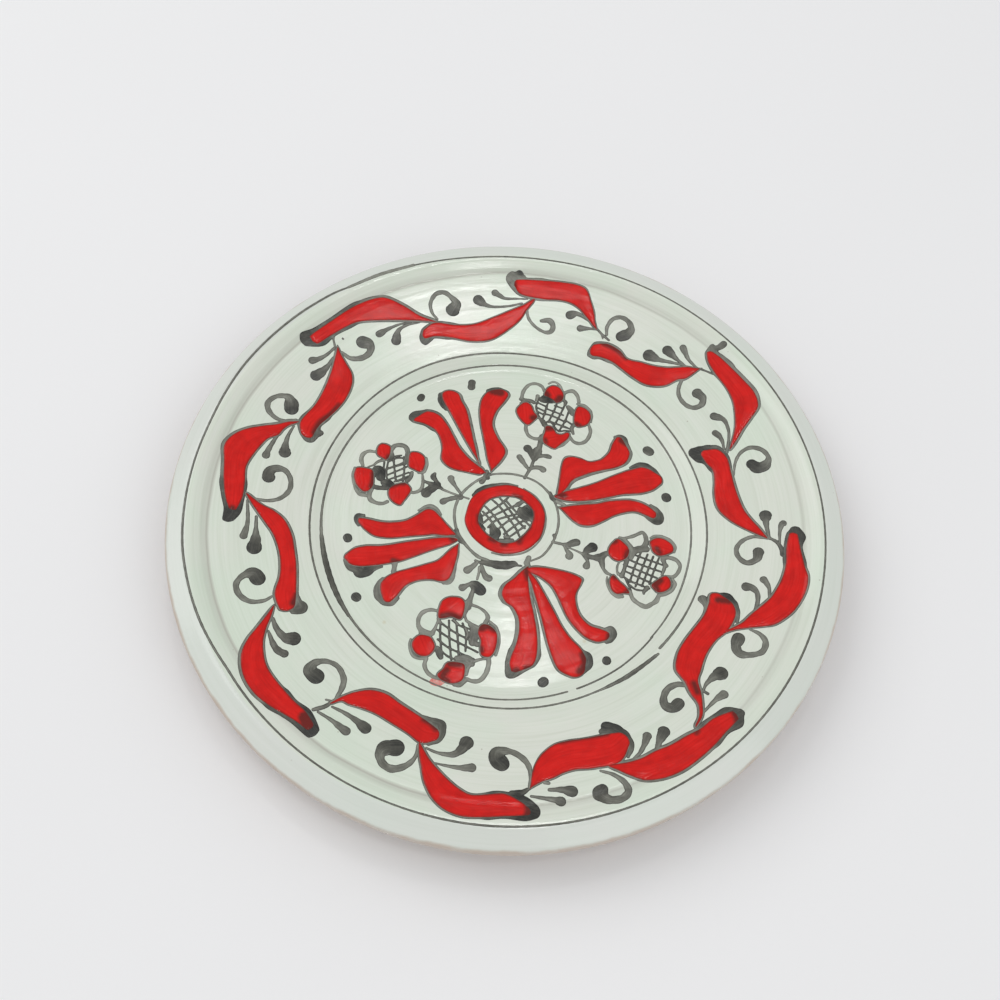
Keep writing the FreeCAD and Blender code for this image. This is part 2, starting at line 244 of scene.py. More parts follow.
class Film:
    """A patch of paint on a fine grid: signed distance to its edge, and what its material needs."""

    def __init__(self, low, high, cell):
        self.cell = cell
        self.x0 = low[0] - GRID_MARGIN
        self.y0 = low[1] - GRID_MARGIN
        nx = math.ceil((high[0] + GRID_MARGIN - self.x0) / cell) + 1
        ny = math.ceil((high[1] + GRID_MARGIN - self.y0) / cell) + 1
        self.x, self.y = np.meshgrid(self.x0 + np.arange(nx) * cell, self.y0 + np.arange(ny) * cell)
        self.d = np.full((ny, nx), FAR)
        self.ink = np.full((ny, nx), 0.5)
        self.along = np.zeros((ny, nx))
        self.across = np.zeros((ny, nx))
        self.shade = np.zeros((ny, nx))

    def window(self, low, high):
        """The part of the grid that covers a box."""
        ny, nx = self.d.shape
        i0 = max(0, int((low[0] - self.x0) / self.cell) - 1)
        i1 = min(nx, int((high[0] - self.x0) / self.cell) + 3)
        j0 = max(0, int((low[1] - self.y0) / self.cell) - 1)
        j1 = min(ny, int((high[1] - self.y0) / self.cell) + 3)
        return slice(j0, j1), slice(i0, i1)

    def stroke_distance(self, line, widths, reach=1.6):
        """Distance to a stroke's edge near it, with the way along it and the offset across it."""
        shape = self.d.shape
        d = np.full(shape, FAR)
        along = np.zeros(shape)
        across = np.zeros(shape)
        run = 0.0
        for a, b, wa, wb in zip(line[:-1], line[1:], widths[:-1], widths[1:]):
            seg = b - a
            length = max(float(np.hypot(*seg)), 1e-6)
            room = max(wa, wb) + reach
            box = self.window(np.minimum(a, b) - room, np.maximum(a, b) + room)
            px = self.x[box] - a[0]
            py = self.y[box] - a[1]
            t = np.clip((px * seg[0] + py * seg[1]) / length**2, 0, 1)
            side = (px * seg[1] - py * seg[0]) / length
            gap = np.hypot(px - t * seg[0], py - t * seg[1]) - (wa + (wb - wa) * t)
            nearer = gap < d[box]
            d[box] = np.where(nearer, gap, d[box])
            along[box] = np.where(nearer, run + t * length, along[box])
            across[box] = np.where(nearer, side, across[box])
            run += length
        return d, along, across

    def add_stroke(self, points, ink, merge=0.3, closed=False):
        """One pull of the brush through (x, y, half width) points; wet strokes run together."""
        line = smooth(points, STROKE_STEP, closed)
        if closed:
            line = np.vstack([line, line[:1]])
        tremble = INK_WIDER + 0.06 * np.sin(np.arange(len(line)) * 0.9 + dice.random() * 6)
        ends = ink if isinstance(ink, tuple) else (ink, ink)
        inks = np.interp(np.linspace(0, 1, len(line)), [0, 1], ends)
        fullness = line[:, 2] / line[:, 2].max()
        inks = inks * (1 - np.clip(inks - 0.35, 0, 0.6) * 0.9 * (1 - fullness**1.5))
        d, along, across = self.stroke_distance(line[:, :2], line[:, 2] * tremble)
        nearest = np.clip((along / STROKE_STEP).astype(int), 0, len(line) - 1)
        self.take(d, inks[nearest], along, across, merge)

    def add_area(self, outline, spine, ink=0.5, merge=0.2):
        """A filled shape inside a closed outline, brushed along its spine."""
        edge = np.vstack([outline, outline[:1]])
        d, _, _ = self.stroke_distance(edge, np.zeros(len(edge)), reach=WHOLE_PATCH)
        inside = np.zeros(self.d.shape, bool)
        for a, b in zip(edge[:-1], edge[1:]):
            if a[1] == b[1]:
                continue
            crosses = (a[1] > self.y) != (b[1] > self.y)
            at = a[0] + (self.y - a[1]) * (b[0] - a[0]) / (b[1] - a[1])
            inside ^= crosses & (self.x < at)
        d = np.where(inside, -np.abs(d), np.abs(d))
        _, along, across = self.stroke_distance(spine, np.zeros(len(spine)), reach=WHOLE_PATCH)
        self.take(d, np.full(self.d.shape, ink), along, across, merge)

    def take(self, d, ink, along, across, merge):
        """Joins a new shape with the patch, the edges flowing together over the merge length."""
        nearer = d < self.d
        wet = np.clip(0.5 + 0.5 * (d - self.d) / INK_BLEND, 0, 1)
        self.ink = self.ink * wet + ink * (1 - wet)
        blend = np.clip(0.5 + 0.5 * (d - self.d) / merge, 0, 1)
        self.d = self.d * blend + d * (1 - blend) - merge * blend * (1 - blend)
        self.along = np.where(nearer, along, self.along)
        self.across = np.where(nearer, across, self.across)

    def darken(self, points):
        """Where the red lies over wet dark paint it takes its colour."""
        line = smooth(points, STROKE_STEP)
        d, _, _ = self.stroke_distance(line[:, :2], line[:, 2])
        self.shade = np.maximum(self.shade, np.clip(SHADE_DEPTH - d / SHADE_FADE, 0, 1))

    def mesh(self, base, lift, soft):
        """Closed mesh of the patch: vertices, faces and the values at each vertex."""
        d = self.d
        inside = d <= 0
        some = inside[:-1, :-1] | inside[:-1, 1:] | inside[1:, 1:] | inside[1:, :-1]
        plan = []
        values = []
        index = {}

        def corner(j, i):
            key = (j, i)
            if key not in index:
                index[key] = len(plan)
                plan.append((self.x[j, i], self.y[j, i], -d[j, i]))
                values.append((self.ink[j, i], self.along[j, i], self.across[j, i], self.shade[j, i]))
            return index[key]

        def crossing(j, i, m, k):
            key = (j, i, m, k) if (j, i) < (m, k) else (m, k, j, i)
            if key not in index:
                j, i, m, k = key
                t = np.clip(d[j, i] / (d[j, i] - d[m, k]), 0.06, 0.94)
                index[key] = len(plan)
                x = self.x[j, i] * (1 - t) + self.x[m, k] * t
                y = self.y[j, i] * (1 - t) + self.y[m, k] * t
                plan.append((x, y, 0.0))
                near = (j, i) if inside[j, i] else (m, k)
                values.append((self.ink[near], self.along[near], self.across[near], self.shade[near]))
            return index[key]

        top = []
        for j, i in np.argwhere(some):
            ring = [(j, i), (j, i + 1), (j + 1, i + 1), (j + 1, i)]
            face = []
            for a, b in zip(ring, ring[1:] + ring[:1]):
                if inside[a]:
                    face.append(corner(*a))
                if inside[a] != inside[b]:
                    face.append(crossing(*a, *b))
            if len(face) > 2:
                top.append(tuple(face))
        return closed_skin(np.array(plan), np.array(values), top, base, lift, soft)


def closed_skin(plan, values, top, base, lift, soft):
    """Lays a flat patch on the plate's face and closes it with a buried underside."""
    ground = face_height(plan[:, 0], plan[:, 1])
    depth = plan[:, 2]
    pooled = 1 + 0.35 * np.clip(depth / 2.5, 0, 1)
    rise = base + lift * pooled * (1 - np.exp(-depth / soft))
    count = len(plan)
    upper = np.column_stack([plan[:, :2], ground + rise])
    lower = np.column_stack([plan[:, :2], ground - BURIED])
    verts = np.vstack([upper, lower])
    used = {}
    for face in top:
        for a, b in zip(face, face[1:] + face[:1]):
            used[(a, b)] = used.get((a, b), 0) + 1
    walls = [(a, a + count, b + count, b) for a, b in used if (b, a) not in used]
    under = [tuple(v + count for v in reversed(face)) for face in top]
    doubled = np.vstack([values, values])
    return verts, list(top) + under + walls, doubled, np.concatenate([depth, np.zeros(count)])


def extent(groups):
    """The box round every painted point, grown by the widest stroke."""
    points = np.vstack([np.array(g, float)[:, :2] for g in groups if len(g)])
    return points.min(0) - 3, points.max(0) + 3


def film_piece(name, film, kind, nodes):
    """Turns a patch into a piece with its paint."""
    red = kind == "red"
    base, lift, soft = (RED_BASE, RED_LIFT, 0.3) if red else (-0.02, INK_LIFT + 0.02, 0.16)
    verts, faces, values, depth = film.mesh(base, lift, soft)
    piece = new_piece(name, verts, faces, red_paint if red else dark_paint, nodes)
    add_values(piece, "ink", values[:, 0])
    add_values(piece, "along", values[:, 1])
    add_values(piece, "across", values[:, 2])
    add_values(piece, "shade", values[:, 3])
    add_values(piece, "depth", depth)
    return piece


def ink_piece(name, strokes, nodes, cell=INK_CELL):
    """Strokes given as (points, ink), run together into one film."""
    film = Film(*extent([points for points, _ in strokes]), cell)
    for points, ink in strokes:
        film.add_stroke(points, ink)
    return film_piece(name, film, "ink", nodes)


def rib_outline(ribs, tip=0.3, tail=0.6):
    """Closed outline and spine of a shape given by ribs (left x, y, right x, y), tip to tail."""
    r = np.array(ribs, float)
    left = r[:, :2]
    right = r[:, 2:]
    middle = (left + right) / 2
    rise = tip * np.linalg.norm(left[0] - right[0]) * unit(middle[0] - middle[1])
    crown = [right[0] + (left[0] - right[0]) * s + rise * h for s, h in ((0.2, 0.72), (0.5, 1), (0.8, 0.72))]
    end = middle[-1] + (tail + 0.5 * np.linalg.norm(left[-1] - right[-1])) * unit(middle[-1] - middle[-2])
    outline = smooth(np.vstack([crown, left, end, right[::-1]]), 0.5, closed=True)
    spine = smooth(np.vstack([crown[1], middle, end]), 1.0)
    return outline, spine


def clear_of(rib, ribs, gap=2.5):
    """The first two of the ribs whose middle lies well away from the given rib's middle."""
    x = (rib[0] + rib[2]) / 2
    y = (rib[1] + rib[3]) / 2
    return [r for r in ribs if math.hypot((r[0] + r[2]) / 2 - x, (r[1] + r[3]) / 2 - y) > gap][:2]


def spread_ribs(ribs):
    """The end points of ribs as a plain list; empty if there are none."""
    return [point for xl, yl, xr, yr in ribs for point in ((xl, yl), (xr, yr))]


def unit(v):
    """The vector at length one."""
    return v / max(float(np.linalg.norm(v)), 1e-9)


def grown(ribs, margins):
    """The ribs made longer at their left and right ends, less so at the thin tail."""
    out = []
    for xl, yl, xr, yr in ribs:
        a = np.array([xl, yl], float)
        b = np.array([xr, yr], float)
        width = float(np.linalg.norm(a - b))
        way = unit(a - b)
        share = min(1.0, 0.7 + width / 6)
        a2 = a + way * (margins[0] + 0.2) * share
        b2 = b - way * (margins[1] + 0.2) * share
        out.append((*a2, *b2))
    return out


def brushed_leaf(name, leaf, red_nodes, ink_nodes):
    """A red leaf or petal over its dark outline, which shows at the tip and along the sides."""
    ribs = leaf["red"]
    outline, spine = rib_outline(ribs)
    film = Film(*extent([outline]), RED_CELL)
    film.add_area(outline, spine)
    for points in leaf.get("shade", []):
        film.darken(points)
    film_piece(name + "_red", film, "red", red_nodes)

    cap = leaf.get("cap", [])
    under = grown(ribs, leaf["margins"])
    outline, spine = rib_outline(under)
    strokes = leaf.get("strokes", [])
    low, high = extent([outline, spread_ribs(cap)] + [points for points, _ in strokes])
    film = Film(low, high, INK_CELL)
    film.add_area(outline, spine, ink=SIDE_INK)
    if cap:
        outline, spine = rib_outline(cap + clear_of(cap[-1], under[1:5]))
        film.add_area(outline, spine, ink=leaf.get("ink", SIDE_INK), merge=0.8)
    for points, ink in strokes:
        film.add_stroke(points, ink)
    film_piece(name + "_outline", film, "ink", ink_nodes)


def closed_red(film, outline):
    """A red dab with a hand drawn closed outline."""
    points = smooth(np.array(outline, float), 0.4, closed=True)
    middle = points.mean(0)
    far = points[np.argmax(np.linalg.norm(points - middle, axis=1))]
    spine = np.vstack([2 * middle - far, far])
    film.add_area(points, smooth(spine, 1.0), merge=0.05)


# ---------------------------------------------------------------- materials


class Nodes:
    """A short way to write a node material."""

    def __init__(self, name):
        self.material = bpy.data.materials.new(name)
        self.material.use_nodes = True
        self.tree = self.material.node_tree
        self.shader = self.tree.nodes["Principled BSDF"]

    def add(self, kind, inputs=None, **settings):
        node = self.tree.nodes.new(kind)
        for key, value in settings.items():
            setattr(node, key, value)
        for key, value in (inputs or {}).items():
            self.put(node.inputs[key], value)
        return node

    def put(self, socket, value):
        if isinstance(value, bpy.types.NodeSocket):
            self.tree.links.new(value, socket)
        else:
            socket.default_value = value

    def math(self, operation, a, b=0.0):
        return self.add("ShaderNodeMath", {0: a, 1: b}, operation=operation).outputs[0]

    def value(self, name):
        return self.add("ShaderNodeAttribute", attribute_name=name).outputs["Fac"]

    def vector(self, x, y, z=0.0):
        return self.add("ShaderNodeCombineXYZ", {0: x, 1: y, 2: z}).outputs[0]

    def noise(self, vector, scale, detail=3.0, rough=0.55):
        inputs = {"Vector": vector, "Scale": scale, "Detail": detail, "Roughness": rough}
        return self.add("ShaderNodeTexNoise", inputs).outputs["Fac"]

    def ramp(self, fac, stops):
        """Colours at places along 0..1; a bare number is a grey."""
        node = self.add("ShaderNodeValToRGB", {"Fac": fac})
        elements = node.color_ramp.elements
        while len(elements) < len(stops):
            elements.new(0.5)
        for element, (place, colour) in zip(elements, stops):
            element.position = place
            rgb = (colour,) * 3 if isinstance(colour, (int, float)) else colour
            element.color = (*rgb, 1)
        return node.outputs["Color"]

    def mix(self, fac, a, b, blend="MIX"):
        node = self.add("ShaderNodeMix", data_type="RGBA", blend_type=blend)
        self.put(node.inputs["Factor"], fac)
        for socket, value in ((node.inputs[6], a), (node.inputs[7], b)):
            if isinstance(value, bpy.types.NodeSocket):
                self.put(socket, value)
            else:
                socket.default_value = (*value, 1)
        return node.outputs[2]

    def bump(self, height, distance, before=None):
        inputs = {"Height": height, "Strength": 1.0, "Distance": distance}
        if before is not None:
            inputs["Normal"] = before
        return self.add("ShaderNodeBump", inputs).outputs["Normal"]

    def plate_place(self):
        """Radius in millimetres, the direction from the axis, and the place in millimetres."""
        place = self.add("ShaderNodeTexCoord").outputs["Object"]
        scaled = self.add("ShaderNodeVectorMath", {0: place, 1: (1000, 1000, 1000)}, operation="MULTIPLY")
        split = self.add("ShaderNodeSeparateXYZ", {0: scaled.outputs[0]})
        flat = self.vector(split.outputs[0], split.outputs[1])
        radius = self.add("ShaderNodeVectorMath", {0: flat}, operation="LENGTH").outputs["Value"]
        way = self.add("ShaderNodeVectorMath", {0: flat}, operation="NORMALIZE").outputs[0]
        part = self.add("ShaderNodeSeparateXYZ", {0: way})
        return radius, part, scaled.outputs[0]

    def rings(self, radius, part, per_mm, round_scale, detail=2.0):
        """Noise drawn out round the axis, as the turner and the brush leave it."""
        along_x = self.math("MULTIPLY", part.outputs[0], round_scale)
        along_y = self.math("MULTIPLY", part.outputs[1], round_scale)
        out = self.math("MULTIPLY", radius, per_mm)
        return self.noise(self.vector(out, along_x, along_y), 1.0, detail)

    def turned_bump(self, radius, part):
        """The fine turning rings that show through every coat on the face."""
        return self.bump(self.rings(radius, part, 3.6, 7.0, 2.5), 0.000022)

    def finish(self, colour, roughness, normal, specular=0.5):
        self.put(self.shader.inputs["Base Color"], colour)
        self.put(self.shader.inputs["Roughness"], roughness)
        self.put(self.shader.inputs["Normal"], normal)
        self.shader.inputs["Specular IOR Level"].default_value = specular
        return self.material


def ground_material():
    """Pale greenish grey-white ground under a clear gloss, brushed on while the plate turned, with painted
    shade in the groove inside the lip.
    """
    n = Nodes("white_ground_glaze")
    radius, part, place = n.plate_place()
    strokes = n.rings(radius, part, 1.3, 2.2, 4.0)
    wide = n.rings(radius, part, 0.22, 1.6, 3.0)
    cloud = n.noise(place, 0.035, 3.0)
    greys = [(0.25, (0.675, 0.72, 0.625)), (0.5, (0.73, 0.775, 0.685)), (0.8, (0.77, 0.80, 0.73))]
    base = n.ramp(strokes, greys)
    warm = n.ramp(cloud, [(0.35, (0.95, 1.0, 0.955)), (0.65, (1.0, 0.985, 0.98))])
    colour = n.mix(1.0, base, warm, "MULTIPLY")
    thin = n.ramp(wide, [(0.3, 0.965), (0.6, 1.0)])
    colour = n.mix(1.0, colour, thin, "MULTIPLY")
    dots = n.add("ShaderNodeTexVoronoi", {"Vector": place, "Scale": 0.16, "Randomness": 1.0})
    speck = n.ramp(dots.outputs["Distance"], [(0.02, 1.0), (0.055, 0.0)])
    chosen = n.add("ShaderNodeSeparateColor", {0: dots.outputs["Color"]})
    some = n.math("GREATER_THAN", chosen.outputs[0], 0.8)
    speck = n.math("MULTIPLY", speck, some)
    speck = n.math("MULTIPLY", speck, 0.5)
    colour = n.mix(speck, colour, (0.26, 0.22, 0.15))
    drops = n.add("ShaderNodeTexVoronoi", {"Vector": place, "Scale": 0.055, "Randomness": 1.0})
    stain = n.ramp(drops.outputs["Distance"], [(0.01, 0.45), (0.05, 0.0)])
    rare = n.add("ShaderNodeSeparateColor", {0: drops.outputs["Color"]})
    stain = n.math("MULTIPLY", stain, n.math("GREATER_THAN", rare.outputs[1], 0.55))
    colour = n.mix(stain, colour, (0.55, 0.47, 0.27))
    # Painted shade: a darker grey line along the groove inside the lip, where shade falls in the crease, with
    # some glaze pooled there too; stronger on the plate's left side than on its right.
    wander = n.math("MULTIPLY", n.noise(place, 0.03, 2.0), 1.6)
    groove = n.math("ADD", n.math("SUBTRACT", radius, 99.3), wander)
    pooled = n.ramp(n.math("MULTIPLY", groove, 0.16), [(0.3, 0.0), (0.46, 1.0), (0.55, 0.4), (0.85, 0.0)])
    pooled = n.math("MULTIPLY", pooled, n.ramp(part.outputs[0], [(0.0, 1.0), (0.75, 0.55)]))
    colour = n.mix(pooled, colour, (0.47, 0.475, 0.41))
    outside = n.ramp(n.math("SUBTRACT", radius, 107.5), [(0.2, 0.0), (0.6, 0.6)])
    colour = n.mix(outside, colour, (0.70, 0.725, 0.69))
    edge = n.math("SUBTRACT", radius, 113.6)
    edge = n.math("ADD", edge, n.math("MULTIPLY", n.noise(place, 0.12, 4.0), 1.5))
    worn = n.ramp(n.math("MULTIPLY", edge, 0.45), [(0.55, 0.0), (0.9, 0.75)])
    colour = n.mix(worn, colour, (0.50, 0.38, 0.30))
    rough = n.ramp(strokes, [(0.3, 0.07), (0.75, 0.15)])
    rough = n.math("ADD", rough, n.math("MULTIPLY", worn, 0.3))
    fine = n.turned_bump(radius, part)
    normal = n.bump(n.noise(place, 0.9, 3.0), 0.00002, fine)
    return n.finish(colour, rough, normal)


def red_material():
    """Strong red, thick and glossy, drawn out along the brush; darker at its edge and over black."""
    n = Nodes("red_brush_paint")
    radius, part, place = n.plate_place()
    along = n.value("along")
    across = n.value("across")
    depth = n.value("depth")
    hairs = n.noise(n.vector(n.math("MULTIPLY", along, 0.10), n.math("MULTIPLY", across, 1.5), 0.3), 1.0, 4.0)
    cloud = n.noise(place, 0.22, 3.0)
    reds = [(0.28, (0.56, 0.007, 0.005)), (0.5, (0.67, 0.009, 0.006)), (0.78, (0.74, 0.016, 0.012))]
    colour = n.ramp(hairs, reds)
    pools = n.ramp(cloud, [(0.35, 0.84), (0.62, 1.0)])
    colour = n.mix(1.0, colour, pools, "MULTIPLY")
    wavy = n.math("ADD", depth, n.math("MULTIPLY", n.noise(place, 0.7, 2.0), 0.5))
    rim = n.ramp(wavy, [(0.3, 1.0), (0.95, 0.0)])
    rim = n.math("MULTIPLY", rim, 0.85)
    colour = n.mix(rim, colour, (0.16, 0.018, 0.012))
    shade = n.math("MULTIPLY", n.value("shade"), n.math("ADD", hairs, 0.4))
    colour = n.mix(n.ramp(shade, [(0.1, 0.0), (0.7, 0.93)]), colour, (0.125, 0.016, 0.012))
    rough = n.ramp(hairs, [(0.3, 0.07), (0.8, 0.15)])
    fine = n.turned_bump(radius, part)
    normal = n.bump(hairs, 0.00005, fine)
    return n.finish(colour, rough, normal, 0.25)


def ink_material():
    """Thin grey-black paint: watery and olive grey where light, near black where it pooled."""
    n = Nodes("dark_brush_paint")
    radius, part, place = n.plate_place()
    along = n.value("along")
    across = n.value("across")
    hairs = n.noise(n.vector(n.math("MULTIPLY", along, 0.22), n.math("MULTIPLY", across, 2.6), 0.7), 1.0, 4.0)
    cloud = n.noise(place, 0.45, 3.0)
    ink = n.math("ADD", n.value("ink"), n.math("MULTIPLY", n.math("SUBTRACT", hairs, 0.5), 0.55))
    ink = n.math("ADD", ink, n.math("MULTIPLY", n.math("SUBTRACT", cloud, 0.5), 0.35))
    greys = [(0.0, (0.42, 0.43, 0.37)), (0.4, (0.235, 0.24, 0.20)), (0.7, (0.095, 0.095, 0.077)),
             (1.0, (0.018, 0.019, 0.015))]
    pooled = n.ramp(n.value("depth"), [(0.02, 0.0), (0.12, 0.28), (0.4, 0.0)])
    colour = n.ramp(n.math("ADD", ink, pooled), greys)
    edge = n.ramp(n.value("depth"), [(0.0, 0.4), (0.08, 0.0)])
    colour = n.mix(edge, colour, (0.33, 0.34, 0.29))
    rough = n.ramp(hairs, [(0.3, 0.18), (0.8, 0.32)])
    fine = n.turned_bump(radius, part)
    normal = n.bump(hairs, 0.00003, fine)
    return n.finish(colour, rough, normal)


def wash_material():
    """Red wiped out thin over the white, so the ground shows through it."""
    n = Nodes("wiped_red_wash")
    radius, part, place = n.plate_place()
    patchy = n.noise(place, 0.9, 3.0)
    colour = n.ramp(patchy, [(0.3, (0.72, 0.42, 0.36)), (0.7, (0.70, 0.12, 0.11))])
    normal = n.turned_bump(radius, part)
    return n.finish(colour, 0.2, normal, 0.35)


def clay_material():
    """Fired clay left bare on the underside: warm, matt, with grit and turning marks."""
    n = Nodes("fired_clay_bare")
    radius, part, place = n.plate_place()
    marks = n.rings(radius, part, 1.1, 1.5, 4.0)
    grit = n.noise(place, 1.8, 4.0)
    colour = n.ramp(marks, [(0.3, (0.40, 0.215, 0.125)), (0.7, (0.54, 0.32, 0.20))])
    pale = n.ramp(n.noise(place, 0.06, 3.0), [(0.45, 0.0), (0.8, 0.35)])
    colour = n.mix(pale, colour, (0.66, 0.52, 0.40))
    colour = n.mix(n.ramp(grit, [(0.62, 0.0), (0.72, 0.4)]), colour, (0.24, 0.13, 0.08))
    fine = n.bump(marks, 0.00015)
    normal = n.bump(grit, 0.00010, fine)
    return n.finish(colour, 0.85, normal, 0.3)


def floor_material():
    """A plain pale floor, very slightly uneven."""
    n = Nodes("pale_floor")
    place = n.add("ShaderNodeTexCoord").outputs["Object"]
    cloud = n.noise(place, 3.0, 2.0)
    colour = n.ramp(cloud, [(0.3, 0.885), (0.7, 0.90)])
    normal = n.bump(n.noise(place, 400.0, 2.0), 0.00002)
    return n.finish(colour, 0.9, normal, 0.2)


dice = random.Random(7)  # where each stroke's tremble begins
white_glaze = ground_material()
red_paint = red_material()
dark_paint = ink_material()
bare_clay = clay_material()
pink_wash = wash_material()


# ---------------------------------------------------------------- the turned body


def plate_body():
    """The white ground as a skin over the face and lip, and the clay body inside and under it."""
    face = resampled(FACE_LINE, 0.55)
    crest = int(np.argmax(face[:, 1]))
    inner = face.copy()
    inner[:, 1] -= GROUND_THICKNESS
    inner[:, 0] = np.minimum(inner[:, 0], RIM_RADIUS - 0.45)
    low = face[:, 1] < 18.2
    outer_wall = low & (face[:, 0] > 108)
    inner[outer_wall, 1] = face[outer_wall, 1] + 0.3
    skin = np.vstack([face, inner[::-1]])

    def skin_height(k, x, y):
        if k >= crest:
            return warp(x, y)
        r = np.hypot(x, y)
        a = np.arctan2(y, x)
        return warp(x, y) + turning(r, a) + lip_groove(r / out_of_round(a), a)

    revolve("glazed_ground", skin, skin_height, white_glaze, ["white_ground"])

    back = resampled(rounded(BACK), 0.8)
    lowest = GROUND_THICKNESS * 0.7
    body_top = resampled(FACE_LINE, 1.5)
    body_top = body_top[body_top[:, 0] < 114.2].copy()
    body_top[:, 1] -= lowest
    keep = (body_top[:, 1] > 14.5) | (body_top[:, 0] < 100)
    body = np.vstack([back, body_top[keep]])

    def body_height(k, x, y):
        r = np.hypot(x, y)
        foot = np.clip((74 - r) / 8, 0, 1) if k < len(back) else 0.0
        grooves = 0.10 * np.sin(r * 1.7 + np.sin(np.arctan2(y, x))) if 3 < k < len(back) - 3 else 0.0
        flat = np.clip((r - 57) / 2, 0, 1) * np.clip((66 - r) / 2, 0, 1)
        return warp(x, y) * (1 - foot) + grooves * (1 - flat)

    revolve("thrown_body", body, body_height, bare_clay, ["clay_body"])


plate_body()


# ---------------------------------------------------------------- the painted figures

# Points of the painted figures are millimetres from the plate's axis. They were read by eye from the
# photograph, laid flat through the fitted camera under a millimetre grid, and then corrected against renders.
# A rib is (left x, left y, right x, right y). A stroke is its points (x, y, half width) and its darkness,
# one number or its start and end.

# ---------------------------------------------------------------- the border's leaves

